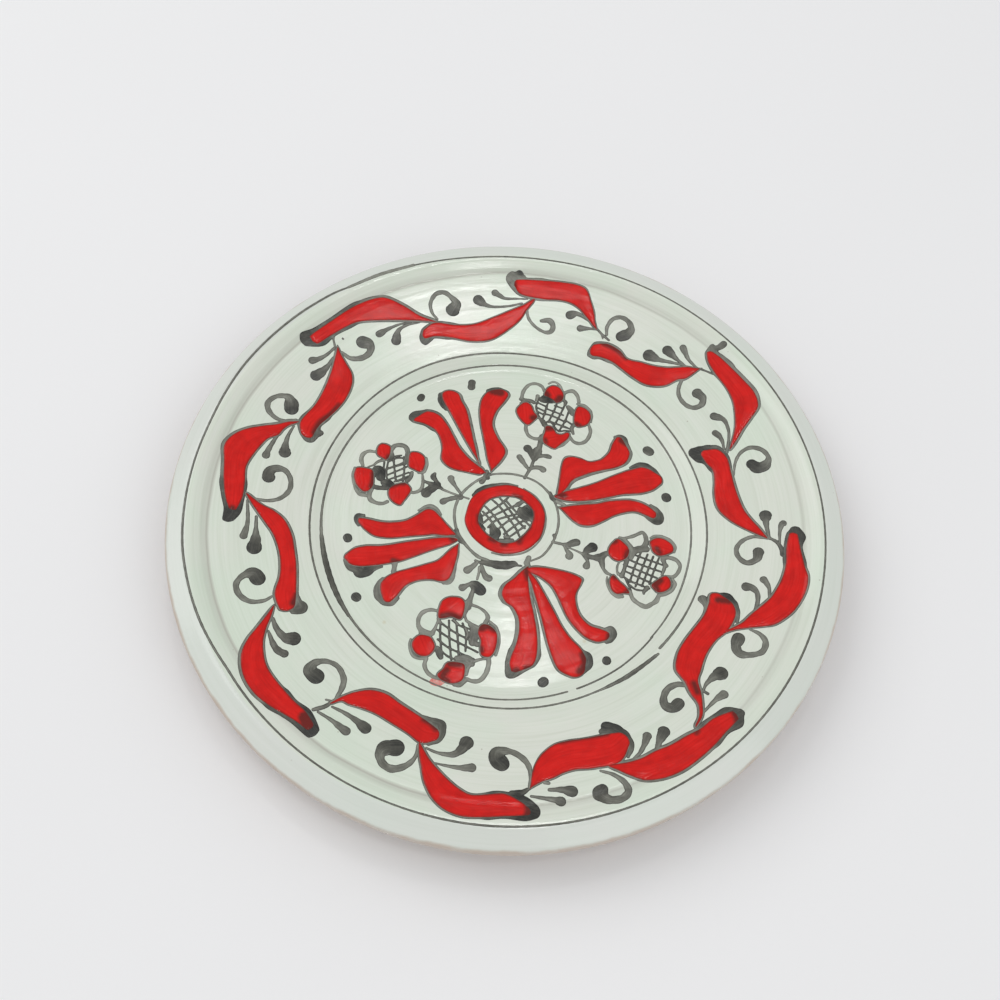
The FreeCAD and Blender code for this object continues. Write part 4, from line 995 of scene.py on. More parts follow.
TULIPS = [
    {"petals": [{"red": [(-36.5, 38, -37.3, 35.8), (-33, 40.7, -33.3, 35), (-28.5, 39.5, -29.5, 33),
                         (-25, 35.6, -27.3, 30), (-22.3, 31.2, -26, 26), (-19.5, 26.7, -25.5, 21),
                         (-16, 23, -21.5, 17.8), (-12.8, 20.5, -15.5, 16.9), (-10.5, 19, -11.3, 16.5),
                         (-9.5, 17.8, -9.8, 17.2)],
                 "cap": [(-37.6, 40.3, -38.8, 35.8), (-35, 41, -36.5, 35)], "ink": 0.75,
                 "margins": (0.6, 0.4)},
                {"red": [(-28.7, 48.7, -22.4, 49.4), (-28, 46, -21.2, 46.8), (-25.7, 42.5, -18.9, 43),
                         (-22.5, 37.3, -17, 37.3), (-19, 31.6, -15.3, 31.5), (-15.8, 26.7, -13.8, 26.8),
                         (-13, 22.6, -12.6, 23), (-12.3, 21.2, -11.9, 21.2)], "margins": (0.5, 0.8),
                 "strokes": [([(-28.9, 48.3, 1.2), (-28, 45.5, 1.5), (-26.3, 42.8, 1)], 0.9)]},
                {"red": [(-12.4, 51.5, -4.3, 51.2), (-14, 48, -5.6, 48), (-14.2, 43, -8, 43.5),
                         (-13.2, 37.5, -8.8, 38), (-11.8, 32.5, -6.5, 32.7), (-10.3, 27, -3.1, 27.5),
                         (-9.2, 22.8, -4.3, 23), (-7.8, 19.3, -6.8, 19.2)], "margins": (0.35, 0.7),
                 "shade": [[(-10.3, 52.3, 1.3), (-7.3, 52, 1.3)]],
                 "strokes": [([(-9, 18, 0.8), (-9.5, 15, 0.7), (-10.3, 13.7, 0.9)], 0.6),
                             ([(-11.8, 52.3, 0.9), (-8.5, 53.4, 0.9), (-5, 52.3, 0.8)], 0.8)]}],
     "dots": [([(-36.3, 46, 1.2), (-36.1, 46.7, 1.2)], 0.8),
              ([(-18.3, 53.3, 1.25), (-18.3, 55.2, 1.25)], 0.7)]},
    {"petals": [{"red": [(36.2, 37.5, 38.7, 37.5), (35, 34.8, 40.3, 34.8), (34.2, 31.6, 41.7, 31.5),
                         (32, 28.5, 40.2, 27.4), (30, 27.3, 36.6, 25), (27.3, 26.6, 32, 23.4),
                         (24.1, 27.5, 28.4, 22), (20.5, 27.8, 25.5, 20.5), (18.3, 26.7, 22.8, 18.9),
                         (17.4, 23.8, 21.2, 17.2), (17.1, 19.5, 20.3, 15.3), (16.9, 15, 19, 13.3),
                         (16.7, 12, 17.8, 12)], "margins": (0.5, 0.9),
                 "shade": [[(38.3, 36.7, 0.9), (40, 35.3, 0.6)]],
                 "strokes": [([(36, 38, 0.6), (37.7, 38.5, 0.7), (39.3, 37.8, 0.9), (40, 36.3, 0.8),
                               (41.3, 34, 0.5)], 0.75)]},
                {"red": [(51.5, 24.6, 53, 20), (49, 26, 50.5, 17.6), (46, 26.5, 46.5, 15.8),
                         (43.2, 25.4, 42.5, 15), (39.7, 23.8, 39.3, 14.3), (34.8, 21, 34.5, 12.6),
                         (29.8, 18, 29.6, 11), (24.5, 15.5, 24.5, 9.9), (20.5, 13.8, 20.5, 9.6),
                         (17.2, 12.2, 17.5, 10)], "margins": (0.35, 0.5),
                 "shade": [[(17.6, 11.5, 1.1), (19, 11.5, 1.1)]],
                 "strokes": [([(42, 25.8, 0.4), (44.5, 27.2, 0.8), (47, 27.6, 0.9), (49.5, 26.6, 0.8),
                               (51.8, 24.6, 0.7), (53, 22.5, 0.4)], 0.8)]},
                {"red": [(51.7, 9, 50.8, 6.2), (49.3, 10.8, 48.5, 7), (46.2, 12.1, 45, 8.1),
                         (42.5, 12.6, 41.5, 7.5), (38.5, 12.1, 37.5, 5.8), (34.5, 11.2, 34, 3.4),
                         (31, 9.9, 30, 1), (26.5, 9, 26, 0.6), (23, 8.2, 23.2, 1.9), (20.7, 7.6, 20.7, 4),
                         (18.6, 6.9, 18.7, 5.9)], "margins": (0.55, 0.55),
                 "strokes": [([(50, 11.4, 0.5), (51.8, 10, 0.8), (53, 8, 1.2), (53, 5.8, 1.5),
                               (51, 5.4, 1), (48.5, 6.6, 0.5)], 0.85),
                             ([(16.5, 9, 0.6), (18, 8.5, 0.7), (19.5, 8, 0.5)], 0.3)]}],
     "dots": [([(48, 33.8, 1.5), (48.8, 33.3, 1.5)], 0.7),
              ([(55.3, 15.3, 1.5), (55.4, 15.1, 1.5)], 0.85)]},
    {"petals": [{"red": [(37.3, -38, 36.6, -41.2), (35, -37.2, 33.8, -42), (31.5, -36.4, 30, -40.9),
                         (28.6, -34.2, 27, -38.5), (26.9, -31.5, 24.6, -36), (26, -28.5, 22.7, -33.2),
                         (25.9, -25.5, 21, -29.9), (27.2, -22, 19.4, -26.8), (27.3, -19.7, 17.5, -24),
                         (24, -18.2, 15.5, -22.3), (19.5, -17.4, 13.3, -20.9), (14.5, -17, 11, -20),
                         (10.5, -17.3, 9.5, -19.5)], "margins": (0.65, 0.45),
                 "shade": [[(37.6, -39, 0.6), (37.5, -41, 0.6)]],
                 "strokes": [([(36.5, -37, 0.5), (38.3, -36.8, 0.9), (39, -38.3, 1.2), (38.5, -40.5, 0.9),
                               (37, -41.7, 0.6)], 0.7)]},
                {"red": [(30.6, -50.7, 25.5, -54.8), (30.6, -48, 22, -53.2), (28.6, -44.8, 19.8, -49.8),
                         (25.2, -41.7, 17.8, -45), (22, -37.8, 16.3, -40.5), (19.6, -33.8, 14.9, -36),
                         (17.2, -29.8, 13.5, -32), (14.7, -25.8, 12, -28), (12.2, -22, 10.6, -24),
                         (10, -19.6, 9.2, -20.8)], "margins": (0.35, 0.55),
                 "shade": [[(29.5, -47, 1), (30.6, -50, 1.4), (28.8, -52.8, 1)]],
                 "strokes": [([(28.5, -45.8, 0.8), (30.8, -47.3, 1.3), (31.6, -49.5, 1.3),
                               (30.3, -51.8, 1.2), (28.3, -53.3, 0.8)], 0.85)]},
                {"red": [(6.3, -54.8, 9.3, -55), (5.6, -52.5, 12.9, -53), (6, -49.8, 14.2, -50.5),
                         (6.9, -46.8, 14.5, -47), (7.6, -43, 14.2, -43), (7.6, -39, 13.5, -39),
                         (6.9, -36, 12.7, -36), (5, -33, 11.9, -33), (2.5, -31.4, 11, -30),
                         (0.8, -28.4, 10.2, -26.8), (1.7, -24.9, 9.7, -24), (4.3, -22.2, 9.3, -21.5),
                         (6.2, -19.8, 9.5, -19.5), (7.6, -18.3, 9.2, -18.4)],
                 "cap": [(4.6, -56.5, 8.6, -57), (4.3, -54.3, 11, -55)], "ink": 0.65,
                 "margins": (1.1, 0.8),
                 "shade": [[(7.5, -55.3, 0.9), (8.3, -54.8, 0.9)],
                           [(11.3, -53.8, 0.9), (12.2, -53.2, 0.6)],
                           [(8.3, -18, 0.7), (8.4, -19.5, 0.9), (9, -22, 0.5)]],
                 "strokes": [([(8.8, -14, 0.8), (8.3, -16, 1)], 0.4),
                             ([(4, -17.3, 0.5), (6.5, -17.3, 0.35)], 0.7)]}],
     "dots": [([(37.4, -48, 1.35), (37.4, -48.2, 1.35)], 0.9),
              ([(17, -58, 1.4), (17.4, -57.6, 1.4)], 0.85)]},
    {"petals": [{"red": [(-50.8, -5.6, -50.5, -8), (-47.5, -5.7, -48, -10.2), (-43.5, -6.2, -44.5, -12),
                         (-39.7, -6, -40, -12.2), (-35.8, -5.1, -35.5, -11.4),
                         (-33.2, -3.6, -32.5, -10.7), (-30.8, -1.6, -30, -10.2),
                         (-28.3, 0.5, -27.5, -9.7), (-25.8, 0.4, -25, -9.1), (-23.3, -1.7, -22.5, -9),
                         (-20.8, -4.3, -20.3, -9), (-18.2, -6.8, -18.2, -8.5)], "margins": (0.55, 0.3),
                 "strokes": [([(-49.5, -4.5, 0.5), (-51.5, -4.9, 0.9), (-52, -6.5, 0.7),
                               (-50.8, -8.5, 0.5)], 0.9),
                             ([(-31, -0.3, 0.4), (-28.5, 1.6, 0.6), (-27, 1.9, 0.7), (-25, 1.2, 0.6),
                               (-23, -1, 0.4)], 0.4)]},
                {"red": [(-53, -19.5, -53, -22), (-50.8, -17.3, -51.3, -23.5), (-47, -16, -48, -23.9),
                         (-42.5, -15.4, -43.5, -23.1), (-38.8, -14.5, -38.8, -21.8),
                         (-34, -13, -34.3, -20.3), (-29, -11.6, -29.5, -17.8), (-25, -10.5, -25.5, -15.6),
                         (-21, -9.7, -21.5, -13.6), (-17.7, -9.4, -17.8, -11.7)], "margins": (0.5, 0.3),
                 "shade": [[(-37, -20.5, 0.8), (-35.5, -20.5, 0.5)],
                           [(-18.2, -9.8, 0.9), (-17.6, -10.5, 0.8)]],
                 "strokes": [([(-53.3, -22.2, 0.6), (-51.5, -24.6, 0.9), (-49.5, -25.3, 1),
                               (-47.3, -26.3, 1.6), (-45, -25.5, 1.4), (-42.8, -24, 0.8),
                               (-40.5, -23.2, 0.4)], 0.95),
                             ([(-36.5, -20.5, 1), (-36.3, -22.5, 0.8), (-36.3, -24.5, 0.8)], 0.45)]},
                {"red": [(-38.6, -34.6, -35.5, -35.3), (-39.8, -31.8, -33.8, -33),
                         (-40, -29.3, -32.3, -30.3), (-38.6, -26.9, -30.8, -28.6),
                         (-35.5, -24.6, -28.5, -27.2), (-31.5, -22.9, -25.5, -26.3),
                         (-28, -21.4, -22.8, -26), (-25, -20.1, -20, -26.3), (-22.5, -18.9, -17.6, -25.3),
                         (-20.8, -17.3, -16.5, -22.5), (-19.3, -15.3, -15.9, -19),
                         (-17.9, -13.5, -15.5, -15.5), (-16.5, -12.3, -15.6, -13)], "margins": (0.3, 0.6),
                 "strokes": [([(-39.6, -27.5, 0.6), (-40.9, -30, 0.8), (-40.6, -33, 1.2), (-39, -35.3, 1),
                               (-37, -36.5, 0.7), (-35, -36, 0.7), (-33.5, -34, 0.5)], 0.6),
                             ([(-15.8, -18, 0.4), (-16, -22, 0.6), (-17, -25.5, 1), (-19, -26.7, 0.6)],
                              0.4)]}],
     "dots": [([(-53.8, -13.6, 1.35), (-53.6, -14, 1.35)], 0.85),
              ([(-47.5, -35.1, 1.4), (-47.2, -35.3, 1.4)], 0.85)]},
]


def tulips():
    """Three petals and two dots for each tulip."""
    for k, tulip in enumerate(TULIPS, 1):
        for letter, petal in zip("abc", tulip["petals"]):
            brushed_leaf(f"tulip_{k}_petal_{letter}", petal, [f"tulip_petals_{k}"], ["tulip_outlines"])
        ink_piece(f"tulip_{k}_dots", tulip["dots"], ["tulip_dots"])


tulips()

# ---------------------------------------------------------------- the four flowers in the well

# Each has its red petals as closed outlines, and its outlines, netting, stem and leaves as strokes.
FLOWERS = [
    {"red": [[(12, 57.7), (14.3, 57), (15.8, 55), (16.1, 52.8), (15.3, 51), (13.6, 50.2), (12.3, 51.3),
              (10.3, 52.3), (8.9, 53), (9.3, 55.2), (10.3, 56.8)],
             [(22.5, 49.7), (25, 48.7), (26.5, 46.7), (26.6, 44.2), (25.3, 41.9), (22.5, 40.7),
              (20.9, 41.7), (20.5, 44.2), (20.7, 47), (21.3, 48.9)],
             [(10.5, 39.5), (12.5, 39.7), (13.7, 38.5), (14.6, 37.1), (16.5, 36.8), (18.3, 37.8),
              (19.4, 37.3), (19, 35.3), (17, 33), (15.5, 31.3), (14.3, 30.4), (12, 31.3), (10.3, 32.5),
              (9.8, 34.5), (10.3, 37)],
             [(3, 49), (4.6, 47.8), (5.7, 45.3), (7.1, 43.3), (5.7, 41), (3.9, 39.3), (1.8, 40.6),
              (0, 42.8), (-0.8, 45.3), (0.2, 47.4), (1.6, 48.8)]],
     "shade": [[(14.8, 52.3, 1.2), (14, 51.3, 1)], [(9.6, 54, 0.9), (10.3, 53, 0.9)],
               [(5.5, 42.5, 1), (6.3, 43, 0.7)], [(11, 38.5, 0.9), (12.5, 38.8, 0.9)],
               [(10.8, 34, 0.4), (11.3, 32.8, 0.4)], [(21.5, 42, 0.6), (23, 41.3, 0.4)]],
     "outline": [([(0.7, 50.6, 0.6), (0.9, 53.1, 0.65), (1.8, 55.4, 0.65), (3.4, 57.2, 0.6),
                   (5.7, 57.7, 0.6), (7.8, 56.7, 0.6), (8.7, 54.9, 0.5)], 0.35),
                 ([(0.5, 50.2, 0.7), (2.5, 50.1, 0.6), (4.5, 49.8, 0.7), (5.3, 49.3, 0.7)], 0.6),
                 ([(6.5, 52.3, 0.7), (6.3, 50.6, 0.6)], 0.4),
                 ([(10.2, 58.3, 0.4), (11.5, 59.2, 0.45), (13, 59.1, 0.45), (14.5, 57.7, 0.5),
                   (15.5, 55.8, 0.4)], 0.25),
                 ([(16.4, 54.9, 0.6), (17.8, 55.8, 0.7), (19.6, 56, 0.75), (21.2, 54.2, 0.65),
                   (21.9, 51.7, 0.6)], 0.35),
                 ([(16.3, 54.5, 0.4), (16.3, 52, 0.5), (17, 50.8, 0.7), (16.8, 49.6, 0.5)], 0.6),
                 ([(18.2, 48.8, 0.8), (19.2, 47.5, 1.1), (19.8, 45.8, 0.6)], 0.55),
                 ([(21.5, 50.6, 0.5), (24, 50.2, 0.6), (26.3, 48.3, 0.5), (27.1, 46, 0.4),
                   (26.9, 43.3, 0.35)], 0.35),
                 ([(26.2, 42, 0.5), (26.9, 39.5, 0.6), (26.5, 37, 0.65), (25.2, 34.7, 0.65),
                   (23, 33.7, 0.65), (21, 34.3, 0.6), (19.7, 36, 0.5)], 0.4),
                 ([(20.7, 37.6, 0.5), (20, 39.6, 0.7), (20.5, 41.3, 0.7)], 0.55),
                 ([(15.5, 31, 0.3), (17.5, 32.5, 0.5), (19.3, 35, 0.5)], 0.3),
                 ([(3.3, 39.3, 0.6), (3.4, 37.3, 0.65), (4.5, 35, 0.6), (6.5, 33.9, 0.6), (8.3, 34, 0.6),
                   (9.8, 35.3, 0.6), (10.3, 37.5, 0.5)], 0.4),
                 ([(7.7, 43, 0.5), (9, 41.8, 0.8), (10, 40.3, 1)], 0.75),
                 ([(0.3, 48.5, 0.3), (1.8, 49.7, 0.4)], 0.35)],
     "blots": [([(8.3, 51, 1.1), (10, 51.5, 1.7), (11.5, 51.3, 1.4), (13.5, 51, 0.8)], 0.97)],
     "net": [[(10.6, 50.2), (9.9, 46.5), (9.2, 42.8)], [(13.9, 50.3), (13, 46.5), (11.4, 41.7)],
             [(16.8, 49.6), (15.5, 45.5), (13.7, 40.6)], [(18.4, 46.7), (17.3, 42.5), (15.5, 38.1)],
             [(6.8, 49.4), (10.2, 48)], [(6.5, 47.3), (9.9, 45.9)], [(7, 45.5), (9.6, 44.4)],
             [(10.1, 47.2), (13.2, 46.2), (16.5, 45.1)],
             [(9.6, 44.9), (12.6, 44.3), (16, 42.9), (17.5, 42.2)], [(11.5, 42), (14.5, 41), (18, 40)],
             [(13.2, 48.9), (16.2, 48)], [(16.3, 40.3), (19.5, 39.5)], [(17.6, 43), (20.3, 41.3)],
             [(10.8, 41.5), (12.5, 41.3), (13.8, 39.5), (15.5, 38), (17.5, 38.5), (19.5, 38.5)],
             [(6.8, 50.5), (6.3, 47.5), (7.2, 44.5), (8, 43)]],
     "stem": [([(9.5, 35, 1), (9.1, 32.5, 0.9), (8.9, 30.5, 0.9), (8.2, 28.3, 1.5), (7.6, 26, 1.2),
                (7.2, 24.3, 0.6), (6.5, 21.5, 0.55), (5.6, 19.3, 0.55), (4.7, 17, 0.5)], (0.65, 0.7)),
              ([(7, 26, 1), (6, 28, 1.1), (4.7, 29.4, 1.3)], 0.75),
              ([(8, 26.3, 0.7), (10.5, 27, 0.7), (12.3, 26.9, 0.8), (13, 26.7, 0.7)], 0.6),
              ([(5.8, 20.8, 0.5), (4.2, 22.7, 0.7), (3, 24.3, 0.9), (2.1, 25.5, 1)], 0.5),
              ([(6, 20.7, 0.5), (8, 21.8, 0.7), (10, 21.8, 0.9), (11, 21.2, 1)], 0.5)]},
    {"red": [[(38.9, -3.2), (41.4, -4.6), (43.1, -7.1), (42.4, -10), (40, -11.6), (37.8, -11.2),
              (36, -9.3), (36, -7.1), (37.1, -5)],
             [(53.5, -1.1), (56, -1.8), (58.1, -3.5), (58.3, -5.7), (56.4, -7.1), (53.5, -8),
              (51.4, -6.8), (50.7, -5.3), (50.1, -3.2), (51.4, -1.7)],
             [(56.4, -15.4), (57.7, -17.1), (57.7, -19.3), (56, -21.1), (53.5, -21.8), (52, -20.7),
              (51.2, -19.3), (52.8, -17.5), (54.6, -16)],
             [(38.2, -17.1), (40, -18.9), (42.5, -21), (43.9, -23.2), (41.8, -23.5), (39.6, -24),
              (37.8, -22.8), (36.9, -20.3), (37.1, -18.2)]],
     "shade": [[(38.4, -4.2, 0.6), (37.7, -5, 0.4)], [(42.5, -7.5, 0.5), (41.8, -10, 0.6)],
               [(52.6, -5.5, 0.8), (53.5, -6.8, 0.8)],
               [(54.2, -17.3, 0.9), (52.6, -19.3, 0.9), (53.5, -21, 0.6)],
               [(38.3, -17.8, 0.5), (38.6, -18.2, 0.5)], [(43, -22.6, 0.5), (42.5, -23, 0.4)]],
     "outline": [([(39.5, -2.5, 0.4), (41, -3, 0.6), (43, -5, 0.7), (44.3, -7.5, 0.9), (43.8, -10, 0.8)],
                  0.4),
                 ([(41, -2.8, 0.5), (44, -1.6, 0.6), (46.3, -0.2, 0.6), (47.5, 0.3, 0.6), (48.5, -1, 0.7),
                   (48.8, -3.2, 0.8), (48, -5.3, 0.9), (45.5, -6.5, 1)], (0.4, 0.65)),
                 ([(50.3, -1.5, 0.4), (52, -0.5, 0.5), (54.5, -0.5, 0.5), (57.3, -1.8, 0.6),
                   (59, -4, 0.5), (58.7, -6, 0.4)], 0.3),
                 ([(54.7, -8.7, 0.7), (57, -8.3, 0.7), (59.5, -9, 0.7), (60.8, -11, 0.6),
                   (60.2, -13.5, 0.6), (58.7, -15.3, 0.6), (57, -15.3, 0.4)], 0.4),
                 ([(54.5, -9.5, 0.5), (55.3, -10.5, 0.6), (56.2, -11.5, 0.6)], 0.5),
                 ([(58.3, -16.3, 0.5), (59.2, -18, 0.6), (58.3, -20.3, 0.6), (56.3, -22, 0.6),
                   (54, -22.8, 0.6)], 0.35),
                 ([(44, -22.5, 0.6), (45, -25, 0.7), (47, -26.6, 0.7), (49.5, -27.5, 0.8),
                   (51.5, -26.3, 0.7), (53, -25, 0.8), (53.8, -23, 0.7)], 0.35),
                 ([(36, -18, 0.3), (36, -20, 0.4), (37.3, -23, 0.5), (39.5, -24.7, 0.7),
                   (41.5, -24.7, 0.6)], 0.3),
                 ([(35.3, -9.3, 0.8), (33.8, -11, 1), (34, -13, 0.9), (34.5, -15, 0.6),
                   (35.7, -16.5, 0.6), (37, -17, 0.5)], (0.65, 0.35)),
                 ([(40, -11.7, 0.35), (39.3, -13.5, 0.4), (39.3, -15.5, 0.4), (39.8, -16.5, 0.6)], 0.4),
                 ([(42.5, -11, 0.8), (42, -13, 0.7), (41.6, -15, 0.6), (41, -17, 0.9)], 0.6),
                 ([(44.3, -8.5, 0.7), (46, -7, 0.8), (49, -6, 1)], 0.6),
                 ([(49.8, -20.5, 0.8), (48.8, -22, 0.6), (48.7, -22.8, 0.4)], 0.6),
                 ([(55, -9, 0.7), (55.5, -12, 0.6), (54.7, -15, 0.5)], 0.5)], "blots": [],
     "net": [[(47.3, -7), (45.3, -13), (43.8, -19)], [(49.5, -8), (47.3, -15), (45.8, -20.5)],
             [(51.5, -8.5), (49.5, -15), (48, -20)], [(53.5, -8.8), (51.7, -14.5), (50.5, -19)],
             [(45, -8.6), (49, -9.8), (52.5, -10.7), (55.3, -11.5)],
             [(43.5, -10.8), (47, -12), (50.5, -13), (54.5, -14)],
             [(41.5, -12.8), (45.5, -14), (50, -15.5), (53, -16.5)],
             [(41.5, -15), (45, -16.3), (49, -17.8), (51, -18.5)],
             [(41, -17), (44, -18.7), (47.5, -19.8), (50.5, -20.7)],
             [(43.5, -20), (46, -21.6), (49.5, -21.6)], [(42.3, -18), (43.5, -20.5), (44.3, -22.3)]],
     "stem": [([(16.5, -7, 0.5), (18.5, -7.3, 0.5), (20.5, -7.5, 0.5)], 0.45),
              ([(20, -7.5, 0.4), (22, -7.3, 0.9), (24.3, -6.3, 1.3), (24.8, -6.2, 1.2)], 0.65),
              ([(20.5, -8, 0.4), (21.5, -9.5, 0.6), (22.7, -11, 1), (22.6, -11.7, 1.2)], 0.5),
              ([(21.5, -8.3, 0.35), (25, -9.5, 0.35), (27.5, -10.5, 0.6)], 0.35),
              ([(27.6, -10.6, 0.7), (28.6, -8.8, 1.1), (30.3, -7.5, 1.7)], 0.98),
              ([(28, -11.5, 0.5), (29, -13, 0.6), (28.7, -14.8, 1.1)], 0.55),
              ([(28, -11, 0.8), (31, -11.3, 0.9), (33, -11, 1.3), (34.2, -10, 1), (35, -9, 0.6)], 0.75),
              ([(33, -11.5, 0.8), (34, -13.7, 0.6)], 0.75)]},
    {"red": [[(-14.9, -31.3), (-12.4, -31.6), (-11, -33.4), (-11.1, -37), (-12, -39.2), (-14.9, -38.6),
              (-17.8, -39.5), (-19.3, -39.2), (-19.5, -36.3), (-18.8, -33.4), (-17, -31.8)],
             [(-24.2, -46), (-21.3, -46.3), (-19.9, -47.7), (-19.1, -49.8), (-19.9, -52), (-21.7, -53.3),
              (-24.2, -53.1), (-26, -51.6), (-26.8, -49.5), (-26, -47.3)],
             [(-14.2, -54.5), (-9.3, -54.4), (-8.4, -57), (-8.8, -59.8), (-10.5, -61.2), (-13, -61.6),
              (-16, -60.6), (-17.2, -59), (-15.7, -57)],
             [(-3.8, -39.9), (-1.3, -40.6), (0.6, -42.7), (1, -45.9), (0.5, -49.1), (-1, -51.2),
              (-3.5, -51), (-4.3, -49.1), (-4.5, -45.9), (-5.6, -43.4), (-5.3, -41)]],
     "shade": [[(-18, -38.6, 0.9), (-15.5, -38, 0.9), (-12.3, -38.8, 0.9)],
               [(-4.6, -41.4, 1.2), (-2.5, -40.6, 1), (-0.2, -41.8, 0.7)],
               [(-3.9, -48.5, 0.6), (-3.7, -49.5, 0.5)], [(-13.5, -55.2, 0.9), (-10, -55, 0.8)],
               [(-14.2, -57, 0.9), (-15.3, -59.5, 0.9), (-13.5, -61, 0.7)]],
     "outline": [([(-19.7, -37, 0.5), (-22.3, -36.9, 0.6), (-24.7, -38.2, 0.7), (-25.7, -40.5, 0.65),
                   (-25.3, -43.2, 0.7), (-23.5, -45, 1)], 0.35),
                 ([(-19.2, -40.5, 0.4), (-19.8, -43, 0.5), (-20.5, -45, 0.8)], 0.4),
                 ([(-24, -45, 1), (-21, -45.3, 0.9)], 0.4),
                 ([(-27.3, -48, 0.4), (-27.5, -50, 0.4), (-26.3, -53, 0.5), (-24.3, -54.2, 0.5),
                   (-21.5, -54, 0.5)], 0.35),
                 ([(-21.4, -54, 0.6), (-21.7, -56.3, 0.65), (-20.5, -58.6, 0.65), (-18.5, -60, 0.65),
                   (-16.5, -60.5, 0.6)], 0.35),
                 ([(-8, -60, 0.7), (-9.5, -61.8, 0.7), (-11.3, -62, 0.6)], 0.45),
                 ([(-1.2, -51.3, 0.7), (-1, -54, 0.75), (-1.6, -57, 0.75), (-3.3, -59.5, 0.7),
                   (-5.5, -60, 0.65), (-7.5, -59.5, 0.6)], 0.35),
                 ([(-7.8, -58, 0.5), (-7.6, -56, 0.6), (-6.5, -53.8, 0.6), (-4.5, -52.6, 0.5),
                   (-2, -51.8, 0.5)], 0.4),
                 ([(-2, -39, 0.5), (0.3, -40.8, 0.5), (1.6, -44, 0.4), (1.7, -47, 0.4), (1, -50.3, 0.5)],
                  0.35),
                 ([(-8.5, -33.6, 0.5), (-6, -34.3, 0.45), (-3.9, -35.7, 0.55), (-2.9, -37.5, 0.7),
                   (-3.5, -39.3, 0.7)], 0.45),
                 ([(-10.3, -35, 0.8), (-10.6, -37.5, 0.5), (-9.8, -39.5, 0.4)], 0.5),
                 ([(-10, -39.3, 0.4), (-8, -40.5, 0.6), (-6, -41.3, 0.6)], 0.4),
                 ([(-8.5, -40.8, 0.6), (-6.8, -42.3, 1), (-6.3, -44.5, 1), (-7.3, -46.3, 0.9)], 0.55),
                 ([(-8, -45.8, 0.6), (-5.5, -47.3, 0.8)], 0.6),
                 ([(-11.5, -52.8, 0.8), (-9, -52.3, 1), (-6.5, -53.2, 0.9), (-8.3, -54.8, 0.9)], 0.55),
                 ([(-10, -42, 0.5), (-8.9, -44, 0.5), (-9.3, -45.5, 0.5)], 0.5)],
     "blots": [([(-18.3, -50, 0.7), (-17.5, -51.5, 1.1), (-16.8, -53, 0.8)], 0.75),
               ([(-7.2, -41.8, 1), (-6.8, -44.3, 1.5), (-7, -46.8, 1.1)], 0.7),
               ([(-11, -53.3, 1), (-8.5, -53.2, 1.4), (-6.3, -54.3, 0.8)], 0.6),
               ([(-19.3, -39.8, 0.5), (-18.5, -41, 0.6)], 0.5),
               ([(-14, -39.7, 0.5), (-12.6, -41, 0.5)], 0.5)],
     "net": [[(-18.3, -41), (-17.9, -45.5), (-16.6, -52)], [(-15.6, -40), (-14.8, -46), (-13.3, -53.5)],
             [(-13, -41), (-12, -46), (-11, -52)], [(-11, -40.5), (-9.5, -44), (-9, -50)],
             [(-14.5, -39.8), (-11.5, -41.5), (-7, -42.5)],
             [(-18.3, -41), (-14.5, -43.3), (-10, -45.3), (-5, -46.8)],
             [(-19, -43.7), (-15, -46), (-10, -48), (-5, -50)],
             [(-18.5, -47), (-15, -49.3), (-11, -50.8), (-6, -52.5)],
             [(-18, -50), (-14.5, -52.5), (-11, -53.5)]],
     "stem": [([(-9.9, -34.5, 1.1), (-9.6, -32, 0.9), (-9.1, -29.5, 0.7), (-8.7, -27, 0.6)], 0.55),
              ([(-10.9, -33, 0.6), (-10, -32, 0.6)], 0.5),
              ([(-9, -26, 1.1), (-7.8, -26.8, 1.8), (-6.3, -28, 1.6)], 0.98),
              ([(-9.5, -25.6, 0.7), (-11, -26.6, 0.7), (-12.5, -27.6, 1.2)], 0.6),
              ([(-7.9, -24, 0.4), (-7.6, -21.5, 0.45), (-7.6, -19.5, 0.5)], 0.3),
              ([(-8.5, -17.7, 0.6), (-10, -19.5, 0.9), (-11.6, -21, 1.2)], 0.5),
              ([(-7, -18.8, 0.6), (-6.2, -21, 0.8), (-5, -22.8, 1), (-4, -23.2, 1.2)], 0.55)]},
    {"red": [[(-47.5, 25), (-45.8, 24.9), (-44.3, 24), (-44, 21.8), (-44.3, 19.7), (-45.2, 18.4),
              (-46.3, 19), (-48.3, 20), (-49, 21.8), (-48.6, 24)],
             [(-36.5, 22.8), (-34, 22.9), (-31.9, 21.5), (-31.1, 19), (-31.5, 16.1), (-32.6, 15),
              (-35, 15.8), (-36.8, 16.8), (-37.2, 19.3), (-37.2, 21.5)],
             [(-37.2, 10), (-35.4, 8.8), (-34.7, 7.2), (-35.4, 5), (-36.5, 2.9), (-37.6, 1), (-39.7, 1.6),
              (-41.7, 3.3), (-42.5, 5.8), (-41.8, 7.9), (-39.7, 9.3)],
             [(-54.7, 14.2), (-50.8, 14.2), (-49, 13.3), (-48.3, 10), (-48.3, 7.2), (-49.7, 5.1),
              (-51.5, 5), (-54, 7.2), (-55.3, 10), (-55.5, 12.5)]],
     "shade": [[(-41.5, 8, 0.5), (-39, 9.3, 0.5), (-37.5, 9.6, 0.6)],
               [(-48.9, 12.5, 0.6), (-48.7, 9.5, 0.5), (-49, 7, 0.5)],
               [(-44.8, 19.3, 0.5), (-44.6, 20.3, 0.3)]],
     "outline": [([(-43.6, 23, 0.7), (-43, 24.5, 0.8), (-41, 25.2, 0.8), (-39, 24.7, 0.8),
                   (-38, 22.8, 0.8), (-38, 20.5, 0.7), (-38, 18.6, 1)], (0.4, 0.7)),
                 ([(-43.6, 22, 0.6), (-43.4, 20.3, 0.9), (-43.3, 19.3, 1)], (0.5, 0.9)),
